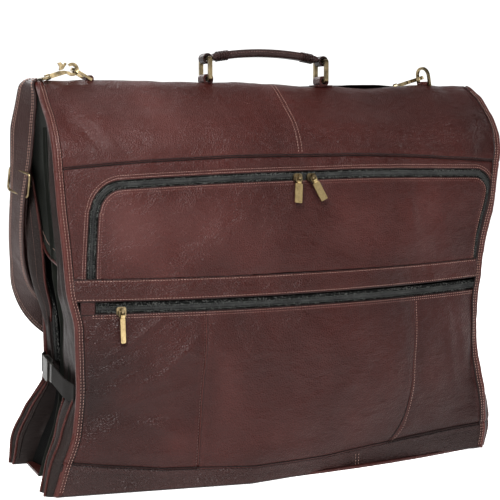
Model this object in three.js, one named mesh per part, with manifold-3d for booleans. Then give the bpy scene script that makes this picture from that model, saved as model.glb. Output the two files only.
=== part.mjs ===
// Leather bi-fold garment bag, folded over its carrying handle and standing on its two hems.
// Millimetres, +Z up, -Y is the front of the bag, +X its right-hand side seen from the front.
import * as THREE from 'three';
import { mergeVertices } from 'three/addons/utils/BufferGeometryUtils.js';
import Module from 'manifold-3d';

const wasm = await Module();
wasm.setup();

// ---- driving dimensions --------------------------------------------------------------------
const HANDLE_X = 5.5;               // the handle is right of the footprint's middle
const RIDGE_Y = 45.5;               // and the ridge lies behind it
const RIDGE_Z = 494;                // height of the folded bag
const CREASE = { y: 60, z: 458 };   // where each half folds down from the spine strip
const LEATHER = 3;                  // thickness of a leather panel
const CLOTH = 1.6;                  // thickness of a lining panel
const SEAT = 1.0;                   // clearance under pieces sewn onto a curved panel
const INSIDE = LEATHER + 2.6;       // from a cover's outer face to what is sewn behind it

// the bag's two ends against height, left and right: they are pulled in where the cinch straps are,
// and the bag sags a little towards its left
const ENDS = [[0, -329, 267], [30, -320, 273], [76, -304, 269], [138, -298, 262], [197, -298, 263],
  [245, -307, 271], [292, -310, 281], [353, -315, 295], [408, -317, 306], [442, -317, 313],
  [470, -317, 318], [494, -315, 316]];
// sections seen from the end: height, depth from the ridge at the ends, extra depth at mid width
const FRONT = [[0, -131, -35], [60, -130, -36], [150, -125, -36], [220, -120, -28], [260, -118, -22],
  [325, -113, -14], [391, -106, -8], [420, -97, -6], [442, -80, -4], [458, -60, -2]];
const BACK = [[0, 60, 20], [30, 66, 14], [70, 48, 22], [110, 36, 28], [143, 32, 26], [170, 34, 27],
  [210, 36, 30], [260, 38, 34], [330, 42, 36], [391, 50, 32], [440, 62, 12], [458, 60, 2]];
const ROOF = [[-60, 458], [-34, 478], [-14, 490], [0, 494], [14, 490], [34, 478], [60, 458]];
const FRONT_LINING = { top: -45, foot: -80 };
const BACK_LINING = { top: -35, foot: -32 };
const LINING_TOP = 438;

const BAND = { low: 230, high: 258 };          // leather band across the front
const UPPER_POCKET = { low: 263, high: 368, left: -262, right: 264, corner: 22 };
const LOWER_ZIP_Z = 220;
const UPPER_ZIP_Z = 375;
const ZIP_WIDTH = 9;
const HANDLE = { reach: 85, ringHeight: 27, ringWidth: 38, wire: 5, grip: 11, rise: 9 };
const EYE_HOLE = 4.3;                // clears the square handle ring at every angle
const HOOK_SLOT = { long: 56, wide: 9, y: -14 };   // in the back hem, for the hanging hook
const STRAP = { width: 38, thick: 3 };
const CINCH = { height: 131, width: 24, thick: 2 };

// ---- materials -----------------------------------------------------------------------------
const finish = (color, roughness, metalness = 0) =>
  new THREE.MeshStandardMaterial({ color, roughness, metalness });
const leather = finish(0x4b2f2c, 0.5);
const lining = finish(0x2b2c2a, 0.85);
const zipTape = finish(0x1b1c1b, 0.7);
const webbing = finish(0x2a2220, 0.85);
const plastic = finish(0x35322f, 0.45);
const brass = finish(0xb08f4c, 0.3, 1);
const darkBrass = finish(0x5f533c, 0.35, 1);
const board = finish(0x6d5a40, 0.8);

// ---- small helpers -------------------------------------------------------------------------
const bag = new THREE.Group();
bag.position.set(HANDLE_X, RIDGE_Y, 0);

function lookUp(table, z, column = 1) {
  const last = table.length - 1;
  if (z <= table[0][0]) return table[0][column];
  if (z >= table[last][0]) return table[last][column];
  const i = table.findIndex((row) => row[0] > z) - 1;
  const t = (z - table[i][0]) / (table[i + 1][0] - table[i][0]);
  return table[i][column] + t * (table[i + 1][column] - table[i][column]);
}
const mix = (a, b, t) => a + (b - a) * t;
const LEFT = -1;
const RIGHT = 1;
const endX = (side, z) => lookUp(ENDS, z, side === LEFT ? 1 : 2);

function sectionY(section, x, z) {
  const across = (2 * x - endX(LEFT, z) - endX(RIGHT, z)) / (endX(RIGHT, z) - endX(LEFT, z));
  return lookUp(section, z) + lookUp(section, z, 2) * Math.max(0, 1 - across * across);
}
const frontY = (x, z) => sectionY(FRONT, x, z);
const backY = (x, z) => sectionY(BACK, x, z);
const frontLiningY = (z) => mix(FRONT_LINING.foot, FRONT_LINING.top, z / LINING_TOP);
const backLiningY = (z) => mix(BACK_LINING.foot, BACK_LINING.top, z / LINING_TOP);

// a mesh of the group, with its surface turned to face out
function place(name, geometry, material, parent = bag) {
  const bare = geometry.index ? geometry.toNonIndexed() : geometry;
  const p = bare.attributes.position;
  const [a, b, c] = [new THREE.Vector3(), new THREE.Vector3(), new THREE.Vector3()];
  let volume = 0;
  for (let i = 0; i < p.count; i += 3) {
    a.fromBufferAttribute(p, i);
    b.fromBufferAttribute(p, i + 1);
    c.fromBufferAttribute(p, i + 2);
    volume += a.dot(b.cross(c));
  }
  if (volume < 0) {
    for (let i = 0; i < p.count; i += 3) {
      b.fromBufferAttribute(p, i + 1);
      c.fromBufferAttribute(p, i + 2);
      p.setXYZ(i + 1, c.x, c.y, c.z);
      p.setXYZ(i + 2, b.x, b.y, b.z);
    }
  }
  bare.deleteAttribute('normal');
  bare.deleteAttribute('uv');
  const mesh = new THREE.Mesh(mergeVertices(bare, 1e-4), material);
  mesh.geometry.computeVertexNormals();
  mesh.name = name;
  parent.add(mesh);
  return mesh;
}

// a closed slab: across and along run 0..1, deep is 0 on one face and 1 on the other
function slab(nAcross, nAlong, shape) {
  const geometry = new THREE.BoxGeometry(1, 1, 1, nAcross, nAlong, 1);
  const p = geometry.attributes.position;
  for (let i = 0; i < p.count; i += 1) {
    const [x, y, z] = shape(p.getX(i) + 0.5, p.getY(i) + 0.5, p.getZ(i) + 0.5);
    p.setXYZ(i, x, y, z);
  }
  return geometry;
}

// a flat strip that follows centre points, with a width direction at each of them
function strip(stations, from, to, width, thick, steps) {
  const centre = new THREE.CatmullRomCurve3(stations.map((s) => new THREE.Vector3(...s.at)));
  const side = new THREE.CatmullRomCurve3(stations.map((s) => new THREE.Vector3(...s.side)));
  const joint = 0.01;   // the pieces meet with a small gap, in stations
  return slab(1, steps, (across, along, deep) => {
    const t = mix(from + joint, to - joint, along) / (stations.length - 1);
    const at = centre.getPoint(t);
    const tangent = centre.getTangent(t);
    const wide = side.getPoint(t);
    wide.addScaledVector(tangent, -wide.dot(tangent)).normalize();
    const normal = tangent.cross(wide).normalize();
    at.addScaledVector(wide, (across - 0.5) * width).addScaledVector(normal, (deep - 0.5) * thick);
    return at.toArray();
  });
}

function roundedRect(w, h, r, cx = 0, cy = 0) {
  const shape = new THREE.Shape();
  shape.absarc(cx + w / 2 - r, cy + h / 2 - r, r, 0, Math.PI / 2);
  shape.absarc(cx - w / 2 + r, cy + h / 2 - r, r, Math.PI / 2, Math.PI);
  shape.absarc(cx - w / 2 + r, cy - h / 2 + r, r, Math.PI, Math.PI * 1.5);
  shape.absarc(cx + w / 2 - r, cy - h / 2 + r, r, Math.PI * 1.5, Math.PI * 2);
  shape.closePath();
  return shape;
}
function hole(shape, outline) {
  shape.holes.push(outline);
  return shape;
}
function disc(r, cx, cy) {
  const shape = new THREE.Shape();
  shape.absarc(cx, cy, r, 0, Math.PI * 2);
  return shape;
}
// an outline drawn in X and Z, thickened along Y about y = 0
function plateXZ(shape, depth, segments = 4) {
  const geometry = new THREE.ExtrudeGeometry(shape, { depth, bevelEnabled: false, curveSegments: segments });
  return geometry.translate(0, 0, -depth / 2).rotateX(Math.PI / 2);
}
// an outline drawn in Y (across) and Z (up), thickened along X about x = 0
function plateYZ(shape, depth, segments = 4) {
  return plateXZ(shape, depth, segments).rotateZ(Math.PI / 2);
}

function solid(geometry) {
  const bare = geometry.clone();
  bare.deleteAttribute('normal');
  bare.deleteAttribute('uv');
  const merged = mergeVertices(bare, 1e-4);
  const vertProperties = Float32Array.from(merged.attributes.position.array);
  const triVerts = Uint32Array.from(merged.index.array);
  return new wasm.Manifold(new wasm.Mesh({ numProp: 3, vertProperties, triVerts }));
}
const join = (first, ...others) =>
  geometryOf(others.reduce((sum, next) => sum.add(solid(next)), solid(first)));
const cut = (first, tool) => geometryOf(solid(first).subtract(solid(tool)));
function geometryOf(whole) {
  const mesh = whole.getMesh();
  const geometry = new THREE.BufferGeometry();
  geometry.setAttribute('position', new THREE.BufferAttribute(mesh.vertProperties, 3));
  geometry.setIndex(new THREE.BufferAttribute(mesh.triVerts, 1));
  return geometry;
}

// ---- soft panels ---------------------------------------------------------------------------
function cover(faceY, inward) {
  return slab(12, 14, (across, along, deep) => {
    const z = mix(0, CREASE.z - 4, along);
    const x = mix(endX(LEFT, z), endX(RIGHT, z), across);
    return [x, faceY(x, z) + inward * LEATHER * deep, z];
  });
}

function gusset(side, faceY, liningY, inward) {
  return slab(3, 14, (across, along, deep) => {
    const z = mix(0, CREASE.z - 10, along);
    const edge = faceY(endX(side, z), z) + inward * INSIDE;
    const x = endX(side, z) - side * deep * LEATHER;
    return [x, mix(edge, liningY(z), across), z];
  });
}

function hem(faceY, liningY, inward) {
  const inset = LEATHER + SEAT;
  return slab(12, 1, (across, along, deep) => {
    const x = mix(endX(LEFT, 0) + inset, endX(RIGHT, 0) - inset, across);
    const edge = faceY(x, 0) + inward * INSIDE;
    return [x, mix(edge, liningY(0) - inward * (CLOTH + SEAT), along), deep * LEATHER];
  });
}

function liningPanel(liningY, inward) {
  return slab(1, 14, (across, along, deep) => {
    const z = mix(0, LINING_TOP, along);
    const inset = LEATHER + SEAT;
    const x = mix(endX(LEFT, z) + inset, endX(RIGHT, z) - inset, across);
    return [x, liningY(z) - inward * CLOTH * deep, z];
  });
}

// a panel or band sewn on the front cover, between two heights
function frontPanel(low, high, leftX, rightX, thick, rows = 4) {
  return slab(12, rows, (across, along, deep) => {
    const z = mix(low, high, along);
    const x = mix(leftX(z), rightX(z), across);
    return [x, frontY(x, z) - SEAT - thick * deep, z];
  });
}

// a narrow ribbon on the front cover that follows points given as x and height
function frontRibbon(path, width, thick, steps) {
  const line = new THREE.CatmullRomCurve3(path.map(([x, z]) => new THREE.Vector3(x, 0, z)), false,
    'centripetal');
  return slab(1, steps, (across, along, deep) => {
    const at = line.getPointAt(along);
    const tangent = line.getTangentAt(along);
    const x = at.x - tangent.z * (across - 0.5) * width;
    const z = at.z + tangent.x * (across - 0.5) * width;
    return [x, frontY(x, z) - SEAT - thick * deep, z];
  });
}

// ---- spine: the leather strip over the fold ------------------------------------------------
function spine() {
  const roofLine = new THREE.CatmullRomCurve3(ROOF.map(([y, z]) => new THREE.Vector3(0, y, z)));
  const roofAt = (t) => roofLine.getPoint(mix(0.03, 0.97, t));
  place('spine_cover', slab(4, 12, (across, along, deep) => {
    const at = roofAt(along);
    const normal = new THREE.Vector3(1, 0, 0).cross(roofLine.getTangent(mix(0.03, 0.97, along)));
    at.addScaledVector(normal, (deep - 1) * LEATHER);
    return [mix(endX(LEFT, at.z), endX(RIGHT, at.z), across), at.y, at.z];
  }), leather);

  for (const [side, label] of [[LEFT, 'left'], [RIGHT, 'right']]) {
    place(`spine_gusset_${label}`, slab(8, 1, (across, along, deep) => {
      const at = roofLine.getPoint(mix(0.12, 0.88, across));
      const x = endX(side, at.z) - side * (1 + deep * LEATHER);
      return [x, at.y * 0.96, mix(CREASE.z + 2, at.z - LEATHER - 3, along)];
    }), lining);
    handleBase(side, label);
    dRingAnchor(side, label);
  }
  const stiffener = new THREE.BoxGeometry(260, 34, 3).translate(0, 0, RIDGE_Z - 16);
  place('spine_stiffener', stiffener, board);
}

const RING_FOOT_Z = RIDGE_Z + 8;

function handleBase(side, label) {
  const loop = hole(roundedRect(14, 13, 5), disc(EYE_HOLE, 0, 0));
  const body = plateXZ(loop, 20, 6).translate(0, 0, RING_FOOT_Z);
  const foot = new THREE.BoxGeometry(26, 20, 2).translate(0, 0, RIDGE_Z + 1.5);
  const whole = join(body, foot).translate(side * HANDLE.reach, 0, 0);
  place(`handle_base_${label}`, whole, leather);
}

function handle() {
  const { wire, ringHeight, ringWidth, reach, grip, rise } = HANDLE;
  for (const [side, label] of [[LEFT, 'left'], [RIGHT, 'right']]) {
    const outer = roundedRect(ringWidth, ringHeight + wire, 5, 0, ringHeight / 2);
    const inner = roundedRect(ringWidth - 2 * wire, ringHeight - wire, 3, 0, ringHeight / 2);
    const ring = plateYZ(hole(outer, inner), wire, 3).translate(side * reach, 0, RING_FOOT_Z);
    place(`handle_ring_${label}`, ring, darkBrass);
  }
  // the grip is an arched bar with an eye at each end for the top bar of its ring
  const eye = EYE_HOLE + 2.8;
  const arch = (reach * reach + rise * rise) / (2 * rise);
  const half = Math.asin(reach / arch);
  const outline = new THREE.Shape();
  outline.absarc(0, rise - arch, arch + grip / 2, Math.PI / 2 - half, Math.PI / 2 + half);
  outline.absarc(-reach, 0, eye, Math.PI / 2 + half, Math.PI * 1.5 + half);
  outline.absarc(0, rise - arch, arch - grip / 2, Math.PI / 2 + half - 0.03, Math.PI / 2 - half + 0.03, true);
  outline.absarc(reach, 0, eye, -Math.PI / 2 - half, Math.PI / 2 - half);
  outline.holes.push(disc(EYE_HOLE, -reach, 0), disc(EYE_HOLE, reach, 0));
  const bar = plateXZ(outline, 18, 8).translate(0, 0, RING_FOOT_Z + ringHeight);
  place('handle_grip', bar, leather);
}

// ---- shoulder strap hardware on the spine --------------------------------------------------
const D_RING = { left: -245, right: 250, wide: 25, wire: 3.4, long: 26, z: RIDGE_Z + 5.2 };
const D_RING_TILT = { left: -60, right: -12 };   // degrees from upright, towards -X
const D_RING_TURN = { left: 0, right: 14 };      // degrees about the vertical

function dRingFrame(side, label) {
  const frame = new THREE.Group();
  frame.position.set(D_RING[label], 0, D_RING.z);
  frame.rotation.z = THREE.MathUtils.degToRad(D_RING_TURN[label]);
  bag.add(frame);
  return frame;
}

function dRingAnchor(side, label) {
  const loop = hole(roundedRect(9.8, 9.8, 4), disc(D_RING.wire / 2 + 1.3, 0, 0));
  const body = plateXZ(loop, 17, 6);
  const foot = new THREE.BoxGeometry(20, 17, 1.4).translate(0, 0, -4.2);
  place(`d_ring_anchor_${label}`, join(body, foot), leather, dRingFrame(side, label));
}

function dRing(side, label) {
  const { wide, wire, long } = D_RING;
  const outer = new THREE.Shape();
  outer.moveTo(-wide / 2, -wire / 2);
  outer.lineTo(wide / 2, -wire / 2);
  outer.lineTo(wide / 2, long - wide / 2);
  outer.absarc(0, long - wide / 2, wide / 2, 0, Math.PI);
  outer.closePath();
  const inner = new THREE.Path();
  inner.moveTo(-wide / 2 + wire, wire / 2);
  inner.lineTo(wide / 2 - wire, wire / 2);
  inner.lineTo(wide / 2 - wire, long - wide / 2);
  inner.absarc(0, long - wide / 2, wide / 2 - wire, 0, Math.PI);
  inner.closePath();
  outer.holes.push(inner);
  const ring = plateYZ(outer, wire, 8).rotateY(THREE.MathUtils.degToRad(D_RING_TILT[label]));
  place(`d_ring_${label}`, ring, darkBrass, dRingFrame(side, label));
}

// The hook lies in its frame's XZ plane: jaw centre at the origin, shank towards -X.
const HOOK = { jaw: 8.5, wire: 4, thick: 5, shank: 30 };
function snapHook(label, frame, jawFrame) {
  const { jaw, wire, thick, shank } = HOOK;
  const outline = new THREE.Shape();
  outline.moveTo(-shank, -3);
  outline.lineTo(-jaw - 6, -3);
  outline.absarc(0, 0, jaw, Math.PI * 1.12, Math.PI * 2.62);
  outline.absarc(0, 0, jaw - wire, Math.PI * 2.62, Math.PI * 1.12, true);
  outline.lineTo(-jaw - 2, 1.5);
  outline.lineTo(-jaw - 8, 3);
  outline.lineTo(-shank, 3);
  outline.closePath();
  place(`snap_hook_${label}`, plateXZ(outline, thick, 10), brass, jawFrame);

  const gate = new THREE.Shape();
  gate.moveTo(-jaw - 8, 3.6);
  gate.lineTo(-jaw - 3, 3.2);
  gate.lineTo(-4.6, 8.6);
  gate.lineTo(-6.2, 11);
  gate.lineTo(-jaw - 1, 9);
  gate.lineTo(-jaw - 3, 13);
  gate.lineTo(-jaw - 7, 13);
  gate.lineTo(-jaw - 6, 8);
  gate.closePath();
  place(`hook_gate_${label}`, plateXZ(gate, 4, 4), brass, jawFrame);

  // swivel eye: a knuckle behind the shank and a flat loop for the strap
  const loop = hole(roundedRect(10, STRAP.width + 8, 3, 0, 0), roundedRect(3.8, STRAP.width + 2, 1.5, 0, 0));
  const eye = new THREE.ExtrudeGeometry(loop, { depth: 3, bevelEnabled: false, curveSegments: 3 });
  eye.translate(-shank - 10.5, 0, -1.5);
  const knuckle = new THREE.CylinderGeometry(4, 4, 5.6, 12).rotateZ(Math.PI / 2);
  knuckle.translate(-shank - 3.4, 0, 0);
  place(`hook_eye_${label}`, join(eye, knuckle), darkBrass, frame);
}

const HOOK_PLACE = {
  left: { at: [-266, 0, 511.35], pitch: -18, turn: 0, roll: 0 },
  right: { at: [245.5, 10.5, 508], pitch: -18, turn: -28, roll: 90 },
};
function hooks() {
  for (const label of ['left', 'right']) {
    const { at, pitch, turn, roll } = HOOK_PLACE[label];
    const frame = new THREE.Group();
    frame.position.set(...at);
    frame.rotation.set(0, THREE.MathUtils.degToRad(pitch), THREE.MathUtils.degToRad(turn), 'ZYX');
    bag.add(frame);
    const jawFrame = new THREE.Group();
    jawFrame.rotation.x = THREE.MathUtils.degToRad(roll);
    frame.add(jawFrame);
    snapHook(label, frame, jawFrame);
  }
}

// ---- the two halves ------------------------------------------------------------------------
function frontHalf() {
  place('front_cover', cover(frontY, 1), leather);
  place('front_lining', liningPanel(frontLiningY, 1), lining);
  place('front_hem', hem(frontY, frontLiningY, 1), leather);
  for (const [side, label] of [[LEFT, 'left'], [RIGHT, 'right']]) {
    place(`front_gusset_${label}`, gusset(side, frontY, frontLiningY, 1), lining);
  }
  const fromLeft = (d) => (z) => endX(LEFT, z) + d;
  const fromRight = (d) => (z) => endX(RIGHT, z) - d;
  const { low, high, left, right, corner } = UPPER_POCKET;
  const trim = (z) => corner - Math.sqrt(corner ** 2 - Math.max(0, z - high + corner) ** 2);
  const pocket = frontPanel(low, high, (z) => left + trim(z), (z) => right - trim(z), 5, 10);
  place('upper_pocket', pocket, leather);
  place('centre_band', frontPanel(BAND.low, BAND.high, fromLeft(2), fromRight(2), 3), leather);
  place('lower_pocket', frontPanel(44, 212, fromLeft(5), fromRight(5), 6), leather);
  place('bottom_band', frontPanel(1, 41, fromLeft(2), fromRight(2), 3), leather);
  const edge = ZIP_WIDTH / 2 + 2;
  const bend = corner + edge;
  const arc = (cx, from) => [0, 1, 2, 3, 4, 5, 6].map((i) => {
    const angle = THREE.MathUtils.degToRad(from - 15 * i);
    return [cx + bend * Math.cos(angle), high - corner + bend * Math.sin(angle)];
  });
  const run = [0.25, 0.5, 0.75].map((t) => [mix(left + corner, right - corner, t), high + edge]);
  const path = [[left - edge, low], [left - edge, mix(low, high - corner, 0.5)],
    ...arc(left + corner, 180), ...run, ...arc(right - corner, 90),
    [right + edge, mix(low, high - corner, 0.5)], [right + edge, low]];
  place('upper_zip', frontRibbon(path, ZIP_WIDTH, 3, 72), zipTape);
  place('lower_zip', frontPanel(LOWER_ZIP_Z - ZIP_WIDTH / 2, LOWER_ZIP_Z + ZIP_WIDTH / 2,
    () => -256, fromRight(6), 3), zipTape);
}

function backHalf() {
  place('back_cover', cover(backY, -1), leather);
  place('back_lining', liningPanel(backLiningY, -1), lining);
  const slot = new THREE.BoxGeometry(HOOK_SLOT.long, HOOK_SLOT.wide, 4 * LEATHER);
  slot.translate(0, HOOK_SLOT.y, 0);
  place('back_hem', cut(hem(backY, backLiningY, -1), slot), leather);
  for (const [side, label] of [[LEFT, 'left'], [RIGHT, 'right']]) {
    place(`back_gusset_${label}`, gusset(side, backY, backLiningY, -1), lining);
  }
}

// ---- zip pulls -----------------------------------------------------------------------------
// Frame origin is the middle of the slider's foot; -Y points away from the bag.
const PULL = { lug: 6.4, ring: 9, bar: 1.6 };
function zipPull(label, x, z, tilt, tab) {
  const frame = new THREE.Group();
  frame.position.set(x, frontY(x, z) - SEAT - 3 - 2.0, z);
  frame.rotation.x = Math.atan((frontY(x, z - 20) - frontY(x, z + 10)) / 30);
  bag.add(frame);
  const foot = plateXZ(roundedRect(12, 10, 3), 3.4, 4).translate(0, -1.7, 0);
  const lugShape = hole(roundedRect(6.4, 7, 2.6, -PULL.lug + 0.6, 0), disc(1.7, -PULL.lug, 0));
  const lug = plateYZ(lugShape, 2.4, 6);
  place(`${label}_slider`, join(foot, lug), darkBrass, frame);

  const swing = new THREE.Group();
  swing.position.set(0, -PULL.lug, 0);
  swing.rotation.y = THREE.MathUtils.degToRad(tilt);
  frame.add(swing);
  const { ring, bar } = PULL;
  const loop = hole(roundedRect(ring, 8, 2, 0, -3.2), roundedRect(ring - 2 * bar, 8 - 2 * bar, 1, 0, -3.2));
  place(`${label}_pull_ring`, plateXZ(loop, bar, 3), darkBrass, swing);

  // the tab hangs from the lower bar of the ring by a rolled knuckle
  const barZ = -3.2 - 4 + bar / 2;
  const knuckle = hole(roundedRect(5, 5, 2.2, 0, 0), disc(bar / 2 + 0.5, 0, 0));
  const roll = plateYZ(knuckle, ring - 2 * bar - 1, 5);
  const plate = plateXZ(roundedRect(tab.wide, tab.long, 1.4, 0, -tab.long / 2 - 1.9), tab.thick, 3);
  place(`${label}_pull_tab`, join(roll, plate).translate(0, 0, barZ), brass, swing);
}

// ---- cinch straps at the two ends ----------------------------------------------------------
// Each is a webbing tail on either half, and a side-release buckle whose tongue slides out.
const BUCKLE = { y: -15, drop: 7 };
const CINCH_TAIL = { front: 86, back: 24 };    // from the buckle to the seam of each half
function cinch(side, label) {
  const x = endX(side, CINCH.height) + side * 6;
  const frame = new THREE.Group();
  frame.position.set(x, BUCKLE.y, CINCH.height);
  frame.rotation.x = THREE.MathUtils.degToRad(BUCKLE.drop);
  bag.add(frame);
  // frame: -Y towards the front half, X across the strap's thickness
  const { width, thick } = CINCH;
  const face = roundedRect(24, width + 5, 4, 9, 0);
  const plates = [-1, 1].map((s) => plateYZ(face, 1.6, 4).translate(s * 3, 0, 0));
  const back = new THREE.BoxGeometry(7.4, 5, width + 5).translate(0, 19, 0);
  place(`buckle_socket_${label}`, join(back, ...plates), plastic, frame);
  const tongue = new THREE.Shape();
  const w = width / 2;
  for (const [y, z] of [[-16, -w], [-3, -w], [3, -w + 2], [13, -w + 1], [13, -w + 5], [2, -w + 7],
    [2, -2], [12, -1.5], [12, 1.5], [2, 2], [2, w - 7], [13, w - 5], [13, w - 1], [3, w - 2],
    [-3, w], [-16, w]]) {
    if (y === -16 && z < 0) tongue.moveTo(y, z);
    else tongue.lineTo(y, z);
  }
  tongue.closePath();
  place(`buckle_tongue_${label}`, plateYZ(tongue, 3, 2), plastic, frame);
  const tail = (length, y) => new THREE.BoxGeometry(thick, length, width - 4).translate(0, y, 0);
  const { front, back: rear } = CINCH_TAIL;
  place(`cinch_tail_front_${label}`, tail(front, -16.5 - front / 2), webbing, frame);
  place(`cinch_tail_back_${label}`, tail(rear, 22 + rear / 2), webbing, frame);
}

// ---- inside the back half: what the bag and the garments hang on ---------------------------
function inside() {
  const bracket = new THREE.BoxGeometry(70, 22, 10).translate(0, 18, 10);
  place('hanger_bracket', bracket, darkBrass);
  const garmentStrap = slab(12, 1, (across, along, deep) => {
    const x = mix(-200, 200, across);
    return [x, backLiningY(220) + CLOTH + 1 + 2 * deep, mix(208, 233, along)];
  });
  place('garment_strap', garmentStrap, webbing);
  // the hanging hook is stowed point up, and slides out through the slot in the hem
  const wire = [[0, 70], [0, 46], [0, 24], [8, 6], [22, 0], [36, 8], [38, 22]];
  const stem = new THREE.CatmullRomCurve3(wire.map(([x, z]) => new THREE.Vector3(x - 19, 0, z)));
  const hookWire = new THREE.ExtrudeGeometry(disc(2.5, 0, 0),
    { extrudePath: stem, steps: 24, curveSegments: 5, bevelEnabled: false });
  place('hanging_hook', hookWire.translate(0, HOOK_SLOT.y, 9), darkBrass);
}

// ---- shoulder strap ------------------------------------------------------------------------
// It hangs from the left hook past the left end, loops behind the back half and climbs to the
// right hook. Centre points and the direction of its width.
const STRAP_ROUTE = [
  { at: [-312.5, 0, 498], side: [0, -1, 0] },
  { at: [-319, 1, 495.5], side: [0.1, -1, 0] },
  { at: [-324, 4, 487], side: [0.3, -0.95, 0] },
  { at: [-328, 9, 467], side: [0.5, -0.86, 0] },
  { at: [-331, 15, 436], side: [0.52, -0.85, 0] },
  { at: [-333, 22, 397], side: [0.46, -0.89, 0] },
  { at: [-335, 30, 353], side: [0.34, -0.94, 0] },
  { at: [-336, 42, 305], side: [0.22, -0.97, 0] },
  { at: [-331, 58, 262], side: [0.2, -0.97, 0.1] },
  { at: [-314, 76, 222], side: [0.35, -0.8, 0.4] },
  { at: [-284, 90, 184], side: [0.5, -0.35, 0.75] },
  { at: [-240, 94, 157], side: [0.38, 0, 0.95] },
  { at: [-180, 92, 141], side: [0.2, 0, 1] },
  { at: [-100, 91, 133], side: [0, 0, 1] },
  { at: [-10, 91, 143], side: [-0.25, 0, 1] },
  { at: [65, 89, 180], side: [-0.6, 0, 0.8] },
  { at: [112, 90, 240], side: [-0.85, 0, 0.5] },
  { at: [140, 93, 310], side: [-0.95, 0, 0.3] },
  { at: [157, 92, 380], side: [-0.98, 0, 0.2] },
  { at: [168, 84, 430], side: [-0.98, 0.05, 0.1] },
  { at: [175, 70, 454], side: [-0.95, -0.15, 0.15] },
  { at: [181, 55, 466], side: [-0.9, -0.3, 0.2] },
  { at: [189, 43.5, 476], side: [-0.8, -0.5, 0.25] },
  { at: [201, 33.5, 488], side: [-0.6, -0.75, 0.2] },
];
const STRAP_CUTS = [0, 4, 20, STRAP_ROUTE.length - 1];   // stations where the pieces meet
function shoulderStrap() {
  ['strap_left_end', 'strap_main', 'strap_right_end'].forEach((name, i) => {
    const [from, to] = [STRAP_CUTS[i], STRAP_CUTS[i + 1]];
    const piece = strip(STRAP_ROUTE, from, to, STRAP.width, STRAP.thick, 4 * (to - from));
    place(name, piece, leather);
  });
}

spine();
handle();
dRing(LEFT, 'left');
dRing(RIGHT, 'right');
hooks();
frontHalf();
backHalf();
zipPull('upper_left', -9, UPPER_ZIP_Z, 7, { wide: 10, long: 25, thick: 2 });
zipPull('upper_right', 10, UPPER_ZIP_Z, -25, { wide: 10, long: 25, thick: 2 });
zipPull('lower', -247, LOWER_ZIP_Z, 0, { wide: 6, long: 30, thick: 3 });
cinch(LEFT, 'left');
cinch(RIGHT, 'right');
inside();
shoulderStrap();

export default bag;
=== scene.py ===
"""The looks of a folded leather garment bag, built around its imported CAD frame."""

import math

import bpy
import numpy as np
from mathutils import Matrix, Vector


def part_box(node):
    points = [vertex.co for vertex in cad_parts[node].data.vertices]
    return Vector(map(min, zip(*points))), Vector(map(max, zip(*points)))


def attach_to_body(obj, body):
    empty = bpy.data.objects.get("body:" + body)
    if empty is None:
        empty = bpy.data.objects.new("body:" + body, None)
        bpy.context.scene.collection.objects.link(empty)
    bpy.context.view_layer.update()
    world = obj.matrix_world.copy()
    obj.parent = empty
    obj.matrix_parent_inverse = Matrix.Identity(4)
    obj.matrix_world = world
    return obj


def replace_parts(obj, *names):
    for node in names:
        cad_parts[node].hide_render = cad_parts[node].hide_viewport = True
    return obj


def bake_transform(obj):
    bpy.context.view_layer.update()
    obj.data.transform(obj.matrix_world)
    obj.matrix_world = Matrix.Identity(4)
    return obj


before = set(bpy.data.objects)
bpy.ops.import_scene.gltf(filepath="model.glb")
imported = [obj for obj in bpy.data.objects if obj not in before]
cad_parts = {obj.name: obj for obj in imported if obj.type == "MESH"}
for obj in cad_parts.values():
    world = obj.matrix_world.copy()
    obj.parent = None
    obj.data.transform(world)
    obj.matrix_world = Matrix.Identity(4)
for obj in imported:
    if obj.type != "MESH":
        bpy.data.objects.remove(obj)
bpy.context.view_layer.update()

MM = 0.001
GRIP_LOW, GRIP_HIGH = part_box("handle_grip")
RIDGE_Y = (GRIP_LOW.y + GRIP_HIGH.y) / 2 / MM    # the fold's ridge, in mm from the footprint's middle
HANDLE_X = (GRIP_LOW.x + GRIP_HIGH.x) / 2 / MM


# ---- camera and light ----------------------------------------------------------------------
LIGHT_TARGET = Vector((0, 0, 0.27))


def make_camera():
    data = bpy.data.cameras.new("camera")
    data.sensor_width = 36
    data.lens = 88.8
    camera = bpy.data.objects.new("camera", data)
    camera.location = (-0.6735, -1.4905, 0.4324)
    camera.rotation_euler = (math.radians(90 - 5.46), 0, math.radians(-23.19))
    bpy.context.scene.collection.objects.link(camera)
    bpy.context.scene.camera = camera


def area_light(name, place, size, power):
    """A soft light aimed at the middle of the bag."""
    data = bpy.data.lights.new(name, "AREA")
    data.shape = "RECTANGLE"
    data.size, data.size_y = size
    data.energy = power
    light = bpy.data.objects.new(name, data)
    light.location = place
    aim = LIGHT_TARGET - Vector(place)
    light.rotation_euler = aim.to_track_quat("-Z", "Y").to_euler()
    bpy.context.scene.collection.objects.link(light)


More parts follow.
